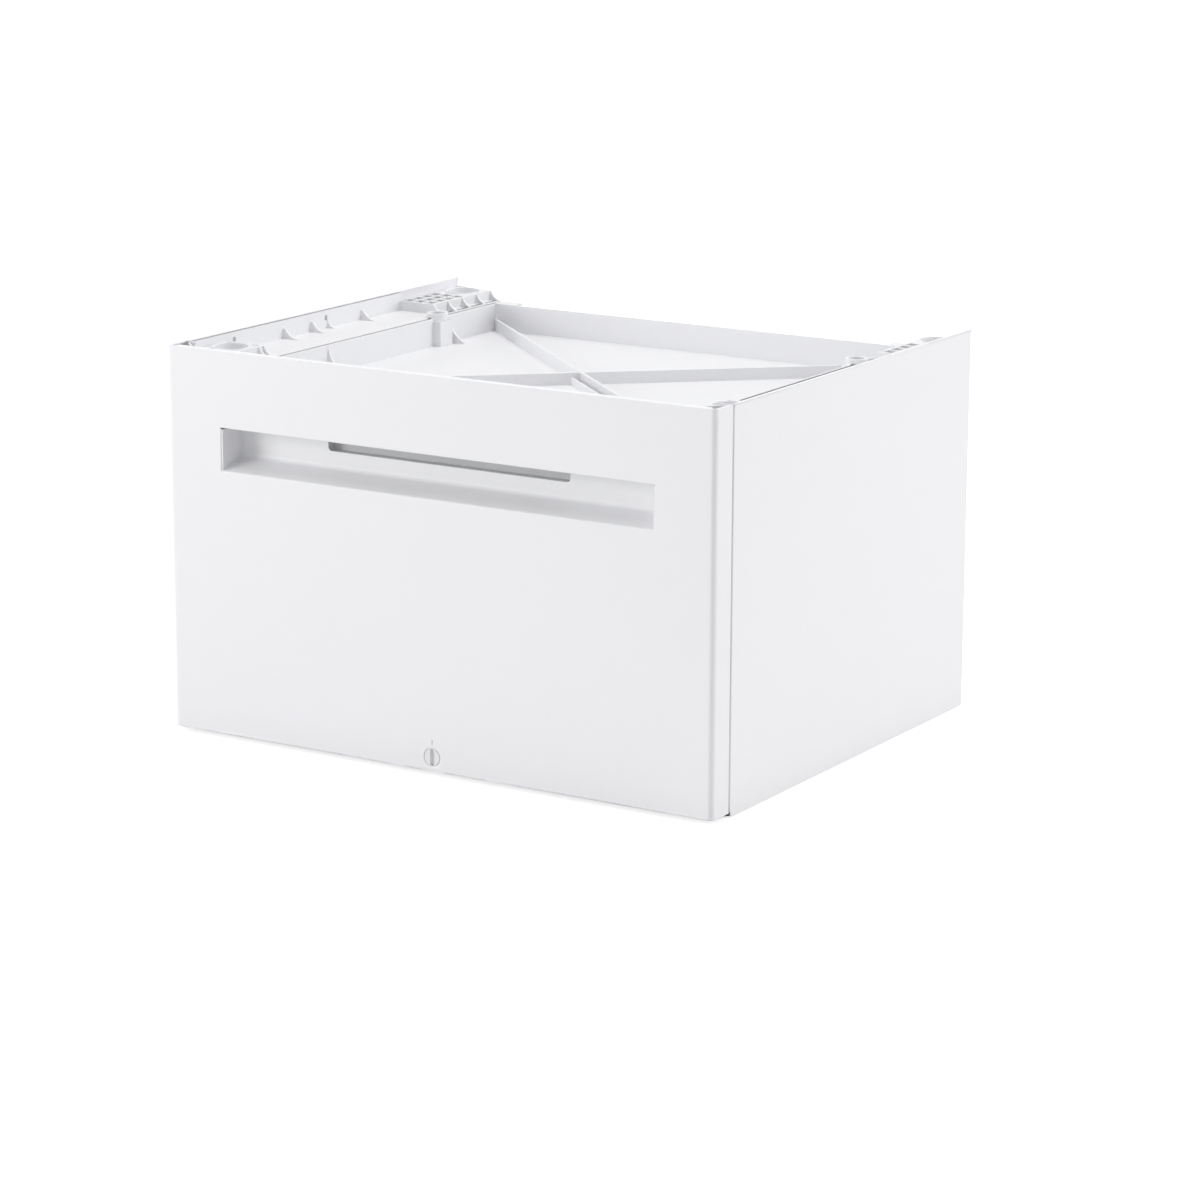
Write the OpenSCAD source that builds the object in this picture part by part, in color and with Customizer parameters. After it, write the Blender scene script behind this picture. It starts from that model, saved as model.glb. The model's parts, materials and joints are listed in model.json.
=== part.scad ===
// Pedestal with one full-width drawer, for a laundry machine 60 cm wide.
// Origin: centre of the footprint, on the floor. +X right, +Y to the rear, +Z up. Millimetres.
// The drawer front faces -Y. The machine's four feet stand in the round cups on top.

/* [Cabinet] */
// Width over the two side panels
body_w = 598; // [580:1:640]
// Depth from the drawer front to the rear edge of the side panels
body_d = 490; // [480:1:540]
// Height of the painted panels
panel_h = 370; // [350:1:430]
// Gap between the floor and the lower edge of the panels
floor_gap = 6; // [5.8:0.1:8]
// Thickness of the painted side sheets
side_t = 1; // [0.8:0.1:1.2]
// Outer bend radius at the side sheets' upright edges
side_bend_r = 2; // [1.5:0.1:2.5]
// Width of the side sheets' inward folds
side_fold = 14; // [10:1:15]
// Width of the thin hem along the side sheets' top edge
side_hem = 2.5; // [2:0.1:3]
// How far the side sheets reach below the other panels
skirt_h = 4.5; // [3:0.1:5]

/* [Drawer front] */
// Depth of the painted drawer front
front_depth = 29.3; // [29:0.1:32]
// Thickness of the drawer front's sheet
front_t = 0.8; // [0.6:0.1:1]
// Outer radius of the drawer front's upright edges
front_corner_r = 5.5; // [4:0.5:7]
// Radius of the drawer front's rear upright edges
front_back_r = 1.5; // [1.2:0.1:2]
// Width of the folded hem along the drawer front's top and bottom
front_hem = 8; // [6:0.5:10]
// Gap between the drawer front and the side panels
front_gap = 2.2; // [1.5:0.1:2.5]
// Wall thickness of the plastic cap, liner and pan behind the drawer front
liner_t = 2; // [1.6:0.1:2.4]
// Width of the open pocket in each upper corner of the drawer front
corner_pocket = 31; // [28:1:34]
// Depth of the open top of the drawer front, down to its cap
cap_depth = 12; // [10:0.5:14]

/* [Handle] */
// Distance from each side edge to the handle recess
recess_side = 62; // [62:1:80]
// Height of the handle recess
recess_h = 41; // [36:1:44]
// Distance from the top edge down to the handle recess
recess_drop = 73; // [66:1:80]
// Depth of the handle recess
recess_depth = 28; // [26:0.5:28]
// Upward slope of the recess floor in degrees
recess_slope = 20; // [16:1:22]
// Radius of the cove between the recess floor and its back wall
recess_cove_r = 6; // [5:0.5:7]
// Wall thickness of the recess moulding
recess_t = 2; // [1.6:0.1:2]
// Width of the finger slot
slot_w = 266; // [220:1:300]
// Height of the finger slot
slot_h = 15; // [12:1:16]

/* [Turn lock] */
// Height of the lock's axis above the panels' lower edge
lock_rise = 12.5; // [12:0.1:13.5]
// Radius of the lock plug
plug_r = 8; // [7:0.1:8]
// Radial running clearance of the plug and its shaft
run_fit = 0.05; // [0.03:0.01:0.1]
// Radius of the lock shaft
lock_shaft_r = 3.5; // [3:0.1:3.7]
// Half length of the locking cam
cam_reach = 8.5; // [7.5:0.1:8.8]

/* [Top] */
// Height of the panels' top edge above the rim of the top tray
rim_drop = 20; // [18:1:24]
// Height of the panels' top edge above the corner blocks
block_drop = 10; // [9:0.5:12]
// Depth of the tray
tray_depth = 28; // [24:1:32]
// Wall thickness of the plastic top mouldings
top_t = 2.5; // [2:0.1:3]
// Open groove between the tray and the side rails
groove = 3; // [2:0.1:4]
// Radius of the cups that take the machine's feet
cup_r = 17; // [15:0.5:17.5]
// Depth of these cups
cup_depth = 6; // [5:0.5:8]
// Height of the tray's crossed ribs
rib_h = 12; // [9:1:16]
// Thickness of the ribs and webs
rib_t = 3; // [2:0.1:4]

/* [Drawer box] */
// Gap between the drawer box and the crossbars above it
box_top_gap = 6.5; // [4:0.5:40]
// Gap between the drawer box and the base crossbars below it
box_floor_gap = 15; // [5:1:40]
// Thickness of the drawer box sheets
box_t = 1.2; // [1:0.1:1.5]
// Height of the slides' centre line above the drawer box floor
slide_rise = 75; // [40:1:120]
// Thickness of one closed slide
slide_w = 13; // [13:0.1:13.4]
// Height of one slide
slide_h = 45; // [45:1:50]

/* [Frame and feet] */
// Thickness of the frame's steel sheet
frame_t = 1.5; // [1.2:0.1:1.8]
// Width of the posts and base rails, across the cabinet
post_w = 42; // [42:1:46]
// Depth of the posts, front to rear
post_d = 40; // [40:1:44]
// Height of the base rails and base crossbars
base_h = 22; // [22:0.5:26]
// Distance from the side sheets to the foot axes
foot_inset = 24; // [24:0.5:26]
// Radius of the foot pads
pad_r = 23; // [20:1:23]
// Thickness of the foot pads
pad_t = 5; // [4:0.1:5]
// Radius of the foot studs
stud_r = 5; // [4:0.5:6]
// How far a foot screws out
foot_travel = 12; // [8:1:12]

/* [Hidden] */
$fn = 48;
eps = 1;

// Cabinet planes
x_out = body_w / 2;
x_in = x_out - side_t;
y_front = -body_d / 2;
y_rear = body_d / 2;
z_low = floor_gap;
z_top = floor_gap + panel_h;
part_gap = 0.3;
press_gap = 0.1;

// Frame
base_rise = 2;
back_inset = 4;
foot_front_inset = 16.5;
foot_rear_inset = 23;
back_t = 1;
cup_front_inset = 68;
lip_w = 6;
base_bar_d = 15;
base_bar_inset = 13.5;
top_bar_d = 20;
top_bar_h = 24;
y_return = y_front + front_depth;
y_side = y_return + front_gap;
y_frame = y_side + side_t;
y_back = y_rear - back_inset;
x_post = x_in - post_w;
z_base = z_low + base_rise;
z_base_top = z_base + base_h;
y_cup_front = y_front + cup_front_inset;
y_cup_rear = y_back - post_d / 2;
y_base_bar = y_frame + base_bar_inset;

// Top mouldings
block_w = 43;
block_h = 26;
front_block_run = 27;
rear_block_run = 85;
ledge_w = 15;
ring_w = 2.2;
ring_rise = 1.2;
cup_margin = 5;
wall_gap = 1;
tray_front_inset = 11.5;
tray_rear_inset = 17;
z_rim = z_top - rim_drop;
z_block = z_top - block_drop;
z_block_low = z_block - block_h;
z_tray = z_rim - tray_depth;
z_tray_low = z_tray - top_t;
z_wall_top = z_top - side_t - wall_gap;
x_cup = x_in - side_t - cup_margin - cup_r;
x_rail_out = x_in - press_gap;
x_block = x_rail_out - block_w;
x_tray = x_block - ledge_w;
x_rail_in = x_tray + groove;
y_rail_front = y_frame + press_gap;
y_rail_rear = y_rear - side_t - press_gap;
y_block_front = y_cup_front + front_block_run;
y_block_rear = y_cup_rear - rear_block_run;
y_tray_front = y_frame + tray_front_inset;
y_tray_rear = y_rear - tray_rear_inset;

// Drawer front
front_lip = 12;
pan_side_gap = 8;
pan_run = 9.5;
pan_low_gap = 0.2;
pan_drop = 44;
x_front_in = x_out - front_t;
y_skin_in = y_front + front_t;
y_lip = y_return - front_t;
y_flange = y_lip - liner_t;
x_pan = x_post - pan_side_gap;
y_pan = y_frame + pan_run;
z_pan_low = z_low + front_t + pan_low_gap;
z_pan_top = z_top - pan_drop;
x_pocket = x_out - corner_pocket;

// Handle
recess_w = body_w - 2 * recess_side;
slot_corner_r = 4;
recess_flange = 6;
pocket_t = 1.6;
pocket_depth = 7;
pocket_rise = 12;
z_recess_top = z_top - recess_drop;
z_recess_low = z_recess_top - recess_h;
y_recess_back = y_front + recess_depth;
z_slot = z_recess_top - slot_h;

// Drawer box
box_hem = 6;
box_rear_gap = 25;
x_box = x_post - slide_w;
z_box = z_base_top + box_floor_gap;
z_box_top = z_tray_low - top_bar_h - box_top_gap;
y_box_front = y_pan + box_t;
y_box_rear = y_back - box_rear_gap;

// Slides, in their own section: u outwards from the drawer side, v upwards from the centre line
slide_t = 1.2;
slide_rear_gap = 8;
inner_short = 20;
ball_r = 1.9;
ball_play = 0.2;
ball_step = 18;
balls_per_row = 8;
cage_len = 150;
cage_t = 0.5;
cage_gap = 0.4;
u_outer_tip = 2.6;
u_middle_tip = 2;
u_outer_balls = 6.5;
u_inner_balls = 5;
u_middle = slide_w - slide_t - 2 * cage_gap - cage_t;
u_inner_tip = u_middle - slide_t - 2 * cage_gap - cage_t;
y_slide = y_cup_front - post_d / 2;
z_slide = z_box + slide_rise;
slide_len = y_back - slide_rear_gap - y_slide;
inner_len = slide_len - inner_short;
y_cage = y_slide + (slide_len - cage_len) / 2;
v_outer = slide_h / 2;
v_outer_balls = v_outer - slide_t - ball_play - ball_r;
v_middle = v_outer_balls - ball_r - ball_play;
v_inner_balls = v_middle - slide_t - ball_play - ball_r;
v_inner = v_inner_balls - ball_r - ball_play;

// Lock
plug_len = 23;
plug_recess = 0.2;
cam_w = 6;
cam_t = 3;
cam_boss = 1;
cam_play = 0.5;
cam_flat = 2.4;
cam_screw_r = 1.5;
housing_wall = 1.1;
striker_t = 1.5;
slot_play = 1;
z_lock = z_low + lock_rise;
housing_r = plug_r + housing_wall;
y_lock = y_front + plug_recess;
y_striker = y_base_bar + frame_t;
y_cam = y_striker + striker_t + cam_play;

// Feet
nut_h = 8;
nut_width = 17;
thread_left = 7;
socket_h = 2;
x_foot = x_in - foot_inset;
y_foot_front = y_frame + foot_front_inset;
y_foot_rear = y_back - foot_rear_inset;
stud_top = z_base + frame_t + thread_left + foot_travel;

// Screws
screw_r = 2;
screw_head_r = 3.6;
screw_head_h = 2;
screw_hole_r = screw_r + press_gap;

// ---- helpers ----

// Box between two opposite corners
module span(low, high) {
    translate(low) cube(high - low);
}

// Cylinder along Y between two depths
module rod_y(x, z, y0, y1, r) {
    translate([x, y0, z]) rotate([-90, 0, 0]) cylinder(h = y1 - y0, r = r);
}

// Cylinder along X between two places
module rod_x(y, z, x0, x1, r) {
    translate([x0, y, z]) rotate([0, 90, 0]) cylinder(h = x1 - x0, r = r);
}

// Cylinder along Z between two heights
module rod_z(x, y, z0, z1, r) {
    translate([x, y, z0]) cylinder(h = z1 - z0, r = r);
}

module both_sides() {
    children();
    mirror([1, 0, 0]) children();
}

// Extrudes an [x, z] outline along Y
module along_y(y0, y1) {
    translate([0, y1, 0]) rotate([90, 0, 0]) linear_extrude(y1 - y0) children();
}

// Extrudes a [y, z] outline across X, centred
module across_x(w) {
    translate([-w / 2, 0, 0]) rotate([90, 0, 90]) linear_extrude(w) children();
}

// Rectangle with its two +X corners rounded
module half_rounded(x0, x1, y0, y1, r) {
    translate([x0, y0]) square([x1 - r - x0, y1 - y0]);
    translate([x0, y0 + r]) square([x1 - x0, y1 - y0 - 2 * r]);
    for (y = [y0 + r, y1 - r]) translate([x1 - r, y]) circle(r);
}

// ---- screw places, each child drawn at the place ----

// On the posts, for the slides
module slide_screw_places() {
    rear_inset = 8;
    spread = 9;
    for (y = [y_cup_front, y_cup_rear - rear_inset], s = [-1, 1])
        translate([0, y, z_slide + s * spread]) children();
}

// On the drawer sides, for the inner slide members
module inner_screw_places() {
    end_inset = 30;
    for (y = [y_slide + end_inset, y_slide + inner_len / 2, y_slide + inner_len - end_inset])
        translate([0, y, z_slide]) children();
}

// In the rear posts, for the back panel
module back_screw_places() {
    post_inset = 12;
    end_inset = 30;
    z_first = z_base_top + end_inset;
    z_last = z_block_low - end_inset;
    x = x_post + post_inset;
    for (s = [-1, 1], z = [z_first, (z_first + z_last) / 2, z_last]) translate([s * x, 0, z]) children();
}

// Through the drawer box front, for the liner
module front_screw_places() {
    side_inset = 50;
    end_inset = 30;
    x = x_box - side_inset;
    for (s = [-1, 1], z = [z_box + end_inset, z_box_top - end_inset]) translate([s * x, 0, z]) children();
}

// ---- painted cabinet sheets ----

// One side panel, on the +X side: sheet with folded edges and a skirt that nearly meets the floor
module side_panel() {
    fold_rise = 1;
    x_fold = x_out - side_fold;
    x_hem = x_out - side_hem;
    z_fold_top = z_block + fold_rise;
    color("#f1f2f4") {
        difference() {
            union() {
                translate([0, 0, z_low]) linear_extrude(panel_h)
                    half_rounded(x_fold, x_out, y_side, y_rear, side_bend_r);
                span([x_in, y_side + side_bend_r, z_low - skirt_h],
                     [x_out, y_rear - side_bend_r, z_low + side_bend_r]);
            }
            translate([0, 0, z_low + side_t]) linear_extrude(panel_h)
                half_rounded(x_fold - eps, x_in, y_side + side_t, y_rear - side_t, side_bend_r - side_t);
            // the front and rear folds stop at the corner blocks, and only the hem goes on
            for (y = [y_side, y_rear - side_t])
                span([x_fold - eps, y - eps, z_fold_top], [x_hem, y + side_t + eps, z_top + eps]);
        }
        // the hem laps over half the sheet's thickness
        span([x_hem, y_side + side_bend_r, z_top - side_t],
             [x_out - side_t / 2, y_rear - side_bend_r, z_top]);
    }
}

// Back panel with three pressed beads
module back_panel() {
    beads = 3;
    bead_h = 14;
    bead_rise = 1.2;
    edge_gap = 0.5;
    edge_rise = 4;
    block_gap = 1;
    x_edge = x_out - side_fold - edge_gap;
    z_edge = z_base + edge_rise;
    z_edge_top = z_block_low - block_gap;
    bead_step = (z_edge_top - z_edge) / (beads + 1);
    color("#c9ccd0") difference() {
        union() {
            span([-x_edge, y_back, z_edge], [x_edge, y_back + back_t, z_edge_top]);
            for (k = [1:beads]) {
                z_bead = z_edge + k * bead_step - bead_h / 2;
                span([-x_pan, y_back, z_bead], [x_pan, y_back + back_t + bead_rise, z_bead + bead_h]);
            }
        }
        back_screw_places() rod_y(0, 0, y_back - eps, y_back + back_t + eps, screw_hole_r);
    }
}

// ---- frame ----

// One base rail, on the +X side: a channel open at the top, with a hole at each foot
module base_rail() {
    foot_hole_r = stud_r + 0.4;
    color("#c9ccd0") difference() {
        span([x_post, y_frame, z_base], [x_in, y_back, z_base_top]);
        span([x_post + frame_t, y_frame + frame_t, z_base + frame_t],
             [x_in - frame_t, y_back - frame_t, z_base_top + eps]);
        for (y = [y_foot_front, y_foot_rear])
            rod_z(x_foot, y, z_base - eps, z_base + frame_t + eps, foot_hole_r);
    }
}

// Crossbar between the base rails, from y0: a channel with its open side to the rear
module base_crossbar(y0) {
    difference() {
        span([-x_post, y0, z_base], [x_post, y0 + base_bar_d, z_base_top]);
        span([-x_post - eps, y0 + frame_t, z_base + frame_t],
             [x_post + eps, y0 + base_bar_d + eps, z_base_top - frame_t]);
    }
}

// The front one has a window for the lock's cam
module front_base_crossbar() {
    window_side = 6;
    x_window = cam_reach + window_side;
    color("#c9ccd0") difference() {
        base_crossbar(y_base_bar);
        span([-x_window, y_base_bar - eps, z_lock - cam_reach],
             [x_window, y_base_bar + frame_t + eps, z_lock + cam_reach]);
    }
}

// The rear one is turned round
module rear_base_crossbar() {
    color("#c9ccd0") translate([0, y_back, 0]) mirror([0, 1, 0]) base_crossbar(0);
}

// Crossbar under the tray, from y0: a channel open downwards
module top_crossbar(y0) {
    color("#c9ccd0") difference() {
        span([-x_post, y0, z_tray_low - top_bar_h], [x_post, y0 + top_bar_d, z_tray_low]);
        span([-x_post - eps, y0 + frame_t, z_tray_low - top_bar_h - eps],
             [x_post + eps, y0 + top_bar_d - frame_t, z_tray_low - frame_t]);
    }
}

// One post, on the +X side: a lipped channel with a closed top that carries a corner block
module post(y_mid) {
    y0 = y_mid - post_d / 2;
    y1 = y_mid + post_d / 2;
    color("#c9ccd0") difference() {
        span([x_post, y0, z_base_top], [x_in, y1, z_block_low]);
        span([x_post + frame_t, y0 + frame_t, z_base_top - eps],
             [x_in - frame_t, y1 - frame_t, z_block_low - frame_t]);
        span([x_in - frame_t - eps, y0 + lip_w, z_base_top - eps],
             [x_in + eps, y1 - lip_w, z_block_low - frame_t]);
        slide_screw_places() rod_x(0, 0, x_post - eps, x_post + frame_t + eps, screw_hole_r);
        back_screw_places() rod_y(0, 0, y_back - frame_t - eps, y_back + eps, screw_hole_r);
    }
}

// ---- white plastic top ----

// A plate across X that stiffens an upright wall at x_wall: its free corner is scooped out
module web(x_wall, x_tip, y, z0, z1) {
    run = abs(x_tip - x_wall);
    scoop_r = max(run, z1 - z0);
    x_scoop = x_wall + sign(x_tip - x_wall) * (rib_t / 2 + scoop_r);
    difference() {
        span([min(x_wall, x_tip), y - rib_t / 2, z0], [max(x_wall, x_tip), y + rib_t / 2, z1]);
        rod_y(x_scoop, z0 + rib_t / 2 + scoop_r, y - rib_t, y + rib_t, scoop_r);
    }
}

// One corner block with its cup, on the +X side
module corner_block(y0, y1, y_cup) {
    difference() {
        union() {
            span([x_block, y0, z_block_low], [x_rail_out, y1, z_block]);
            rod_z(x_cup, y_cup, z_block_low, z_block + ring_rise, cup_r + ring_w);
        }
        rod_z(x_cup, y_cup, z_block + ring_rise - cup_depth, z_top, cup_r);
    }
}

// Rectangular pockets sunk into a block's top
module pocket_grid(y0, y1, rows) {
    columns = 3;
    sink = 14;
    step_x = (block_w - rib_t) / columns;
    step_y = (y1 - y0) / rows;
    for (i = [0:columns - 1], j = [0:rows - 1])
        span([x_block + rib_t + i * step_x, y0 + j * step_y, z_block - sink],
             [x_block + (i + 1) * step_x, y0 + (j + 1) * step_y - rib_t, z_top]);
}

// One side rail of the top, on the +X side: channel, outer wall, two blocks, webs and clip holes
module top_rail() {
    skirt_h = 12;
    rear_webs = 5;
    clip_w = 4;
    clip_h = 5;
    clip_rise = 8;
    clip_web = 8;
    gusset_w = 17;
    gusset_h = 10;
    pocket_edge = 4;
    pocket_rows = 4;
    gusset_runs = [113, 159, 245];
    clip_runs = [31, 182];
    z_skirt = z_rim - skirt_h;
    z_clip = z_rim + clip_rise;
    x_wall = x_rail_out - top_t;
    x_skirt = x_rail_in + top_t;
    x_hollow = [x_skirt + top_t / 2, x_block - rib_t];
    web_step = (y_rail_rear - y_block_rear - rib_t) / (rear_webs - 1);
    webs_rear = [for (k = [0:rear_webs - 1]) y_block_rear + rib_t / 2 + k * web_step];
    webs_front = [y_block_front - 3 * rib_t, y_block_front - rib_t / 2];
    gussets = [for (run = gusset_runs) y_cup_front + run];
    clips = [for (run = clip_runs) y_cup_front + run];
    color("#eceef0") difference() {
        union() {
            span([x_rail_in, y_rail_front, z_rim - top_t], [x_rail_out, y_rail_rear, z_rim]);
            span([x_rail_in, y_rail_front, z_skirt], [x_skirt, y_rail_rear, z_rim]);
            span([x_wall, y_rail_front, z_skirt], [x_rail_out, y_block_rear + rib_t, z_wall_top]);
            corner_block(y_rail_front, y_block_front, y_cup_front);
            corner_block(y_block_rear, y_rail_rear, y_cup_rear);
            for (y = concat(webs_front, webs_rear)) web(x_block + eps, x_rail_in, y, z_rim - eps, z_block);
            for (y = gussets) web(x_wall + eps, x_wall - gusset_w, y, z_rim - eps, z_rim + gusset_h);
            for (y = clips) web(x_wall + eps, x_wall - clip_web, y + clip_w + rib_t / 2, z_rim - eps, z_clip);
        }
        for (k = [1:rear_webs - 1])
            span([x_hollow[0], webs_rear[k - 1] + rib_t / 2, z_skirt - eps],
                 [x_hollow[1], webs_rear[k] - rib_t / 2, z_rim + eps]);
        pocket_grid(y_block_rear + rib_t, y_cup_rear - cup_r - pocket_edge, pocket_rows);
        pocket_grid(y_cup_front + cup_r + pocket_edge, y_block_front, 1);
        for (y = clips) span([x_wall - eps, y, z_clip], [x_rail_out + eps, y + clip_w, z_clip + clip_h]);
    }
}

// The tray between the rails: pan, front flange, crossed ribs, bosses and gussets
module top_tray() {
    second_rib_gap = 9;
    second_rib_drop = 5;
    boss_r = 11;
    boss_rise = 5;
    boss_run = 299;
    gusset_run = 107;
    gusset_w = 18;
    gusset_drop = 1;
    pilaster_drop = 2;
    tab_w = 24;
    x_wall = x_tray - top_t;
    y_in_front = y_tray_front + top_t;
    y_in_rear = y_tray_rear - top_t;
    y_mid = (y_in_front + y_in_rear) / 2;
    y_boss = y_cup_front + boss_run;
    gussets = [y_cup_front + gusset_run, y_boss + boss_r + 2 * rib_t];
    diagonal = atan2(y_in_rear - y_mid, x_wall);
    half_diagonal = norm([x_wall, y_in_rear - y_mid]);
    color("#f0f1f3") difference() {
        union() {
            difference() {
                span([-x_tray, y_tray_front, z_tray_low], [x_tray, y_tray_rear, z_rim]);
                span([-x_wall, y_in_front, z_tray], [x_wall, y_in_rear, z_rim + eps]);
            }
            span([-x_tray, y_rail_front, z_rim - top_t], [x_tray, y_in_front, z_rim]);
            both_sides() {
                span([x_tray - tab_w, y_in_rear, z_rim - top_t], [x_tray, y_rail_rear, z_rim]);
                difference() {
                    rod_z(x_tray, y_boss, z_rim - pilaster_drop - eps, z_rim + boss_rise, boss_r);
                    span([x_tray, y_boss - boss_r - eps, z_tray],
                         [x_tray + boss_r + eps, y_boss + boss_r + eps, z_rim + part_gap]);
                }
                span([x_tray - boss_r, y_boss - boss_r, z_tray - eps],
                     [x_wall + eps, y_boss + boss_r, z_rim - pilaster_drop]);
                for (y = gussets) web(x_wall + eps, x_wall - gusset_w, y, z_tray - eps, z_rim - gusset_drop);
            }
            intersection() {
                span([-x_tray + eps, y_tray_front + eps, z_tray - eps],
                     [x_tray - eps, y_tray_rear - eps, z_tray + rib_h]);
                translate([0, y_mid, z_tray - eps]) union() {
                    for (a = [diagonal, -diagonal]) rotate([0, 0, a])
                        span([-half_diagonal, -rib_t / 2, 0], [half_diagonal, rib_t / 2, rib_h + eps]);
                    rotate([0, 0, -diagonal])
                        span([0, -second_rib_gap - rib_t / 2, 0],
                             [half_diagonal, -second_rib_gap + rib_t / 2, rib_h - second_rib_drop + eps]);
                }
            }
        }
        both_sides() rod_z(x_tray, y_boss, z_rim, z_rim + boss_rise + eps, boss_r - rib_t);
    }
}

// ---- slides, on the +X side ----

// Carries a [u, v] section along the drawer side
module slide_section(y0, len) {
    along_y(y0, y0 + len) translate([x_box, z_slide]) children();
}

// Channel section between two u places, with its web at u_web and its flanges at +-v
module channel_section(u_tip, u_web, v) {
    toward_tip = sign(u_tip - u_web);
    u_wall = u_web + toward_tip * slide_t;
    difference() {
        translate([min(u_tip, u_web), -v]) square([abs(u_tip - u_web), 2 * v]);
        translate([min(u_tip + toward_tip * eps, u_wall), slide_t - v])
            square([abs(u_tip - u_wall) + eps, 2 * (v - slide_t)]);
    }
}

// Outer member: its flanges end in short lips that hold the balls in
module slide_outer() {
    lip_t = 1;
    lip_h = 1.3;
    color("#b9bcc0") difference() {
        slide_section(y_slide, slide_len) union() {
            channel_section(u_outer_tip, slide_w, v_outer);
            difference() {
                translate([u_outer_tip, -v_outer]) square([lip_t, 2 * v_outer]);
                translate([0, slide_t + lip_h - v_outer]) square([slide_w, 2 * (v_outer - slide_t - lip_h)]);
            }
        }
        slide_screw_places() translate([x_post - slide_t, 0, 0]) rotate([0, 90, 0])
            cylinder(h = slide_t, r1 = screw_head_r + press_gap, r2 = screw_hole_r);
    }
}

module slide_middle() {
    color("#b9bcc0") slide_section(y_slide, slide_len) channel_section(u_middle_tip, u_middle, v_middle);
}

module slide_inner() {
    color("#b9bcc0") difference() {
        slide_section(y_slide, inner_len) channel_section(u_inner_tip, 0, v_inner);
        inner_screw_places() rod_x(0, 0, x_box - eps, x_box + slide_t + eps, screw_hole_r);
    }
}

// A ball cage: a bent strip with a row of captive balls above and below
module ball_cage(u_web, u_balls, v_balls) {
    arm_t = 0.8;
    arm_reach = 2.5;
    first_ball = (cage_len - (balls_per_row - 1) * ball_step) / 2;
    rows = [for (k = [0:balls_per_row - 1]) y_cage + first_ball + k * ball_step];
    u_tip = u_balls - arm_reach;
    color("#9da1a6") difference() {
        slide_section(y_cage, cage_len) difference() {
            translate([u_tip, -v_balls - arm_t / 2]) square([u_web + cage_t - u_tip, 2 * v_balls + arm_t]);
            translate([u_tip - eps, arm_t / 2 - v_balls]) square([u_web - u_tip + eps, 2 * v_balls - arm_t]);
        }
        for (y = rows, s = [-1, 1])
            rod_z(x_box + u_balls, y, z_slide + s * v_balls - arm_t, z_slide + s * v_balls + arm_t,
                  ball_r + press_gap);
    }
    color("#d9dcdf") for (y = rows, s = [-1, 1])
        translate([x_box + u_balls, y, z_slide + s * v_balls]) sphere(ball_r);
}

module outer_ball_cage() {
    ball_cage(u_middle + cage_gap, u_outer_balls, v_outer_balls);
}

module inner_ball_cage() {
    ball_cage(u_inner_tip + cage_gap, u_inner_balls, v_inner_balls);
}

// ---- drawer front ----

// Plan outline of the drawer front: large radius in front, small radius at the rear
module front_plan(x, y0, y1, r_front, r_rear) {
    translate([r_front - x, y0]) square([2 * (x - r_front), y1 - y0]);
    translate([-x, y0 + r_front]) square([2 * x, y1 - y0 - r_front - r_rear]);
    translate([r_rear - x, y0 + r_front]) square([2 * (x - r_rear), y1 - y0 - r_front]);
    for (s = [-1, 1]) {
        translate([s * (x - r_front), y0 + r_front]) circle(r_front);
        translate([s * (x - r_rear), y1 - r_rear]) circle(r_rear);
    }
}

// Painted skin: folded sheet with the handle opening, the lock hole and a plain index mark
module drawer_front_skin() {
    hem_side = 3;
    mark_w = 1.2;
    mark_h = 5;
    mark_gap = 3;
    x_hem = x_out - hem_side;
    z_mark = z_lock + housing_r + mark_gap;
    color("#f4f5f7") difference() {
        translate([0, 0, z_low]) linear_extrude(panel_h)
            front_plan(x_out, y_front, y_return, front_corner_r, front_back_r);
        translate([0, 0, z_low + front_t]) linear_extrude(panel_h - 2 * front_t)
            front_plan(x_front_in, y_skin_in, y_lip, front_corner_r - front_t, front_back_r - front_t);
        // open back between the two upright lips
        span([front_lip - x_out, y_lip - eps, z_low - eps], [x_out - front_lip, y_return + eps, z_top + eps]);
        // open top and bottom behind the hems
        for (z = [z_low, z_top - front_t])
            span([-x_hem, y_front + front_hem, z - eps], [x_hem, y_lip, z + front_t + eps]);
        span([-recess_w / 2, y_front - eps, z_recess_low], [recess_w / 2, y_skin_in + eps, z_recess_top]);
        rod_y(0, z_lock, y_front - eps, y_skin_in + eps, housing_r + press_gap);
        span([-mark_w / 2, y_front - eps, z_mark], [mark_w / 2, y_front + front_t / 2, z_mark + mark_h]);
    }
}

// Cap sunk in the top of the folded front, with an upright wall across each corner
module drawer_front_cap() {
    z_open = z_top - front_t;
    z_floor = z_open - cap_depth;
    x_wall_end = x_pocket + y_flange - y_skin_in;
    color("#eceef0") {
        translate([0, 0, z_floor]) linear_extrude(liner_t)
            front_plan(x_front_in, y_skin_in, y_flange, front_corner_r - front_t, front_back_r - front_t);
        for (s = [-1, 1]) translate([0, 0, z_floor + liner_t / 2]) linear_extrude(cap_depth - liner_t / 2)
            polygon([[s * (x_pocket - liner_t), y_skin_in], [s * x_pocket, y_skin_in],
                     [s * x_wall_end, y_flange], [s * (x_wall_end - liner_t), y_flange]]);
    }
}

// Upright plate behind the skin, with a window into the pan
module drawer_front_liner() {
    x_plate = x_front_in - (front_back_r - front_t);
    color("#eceef0") difference() {
        span([-x_plate, y_flange, z_low + front_t], [x_plate, y_lip, z_top - front_t - cap_depth + liner_t]);
        span([liner_t - x_pan, y_flange - eps, z_pan_low + liner_t],
             [x_pan - liner_t, y_lip + eps, z_pan_top - liner_t]);
    }
}

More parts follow.
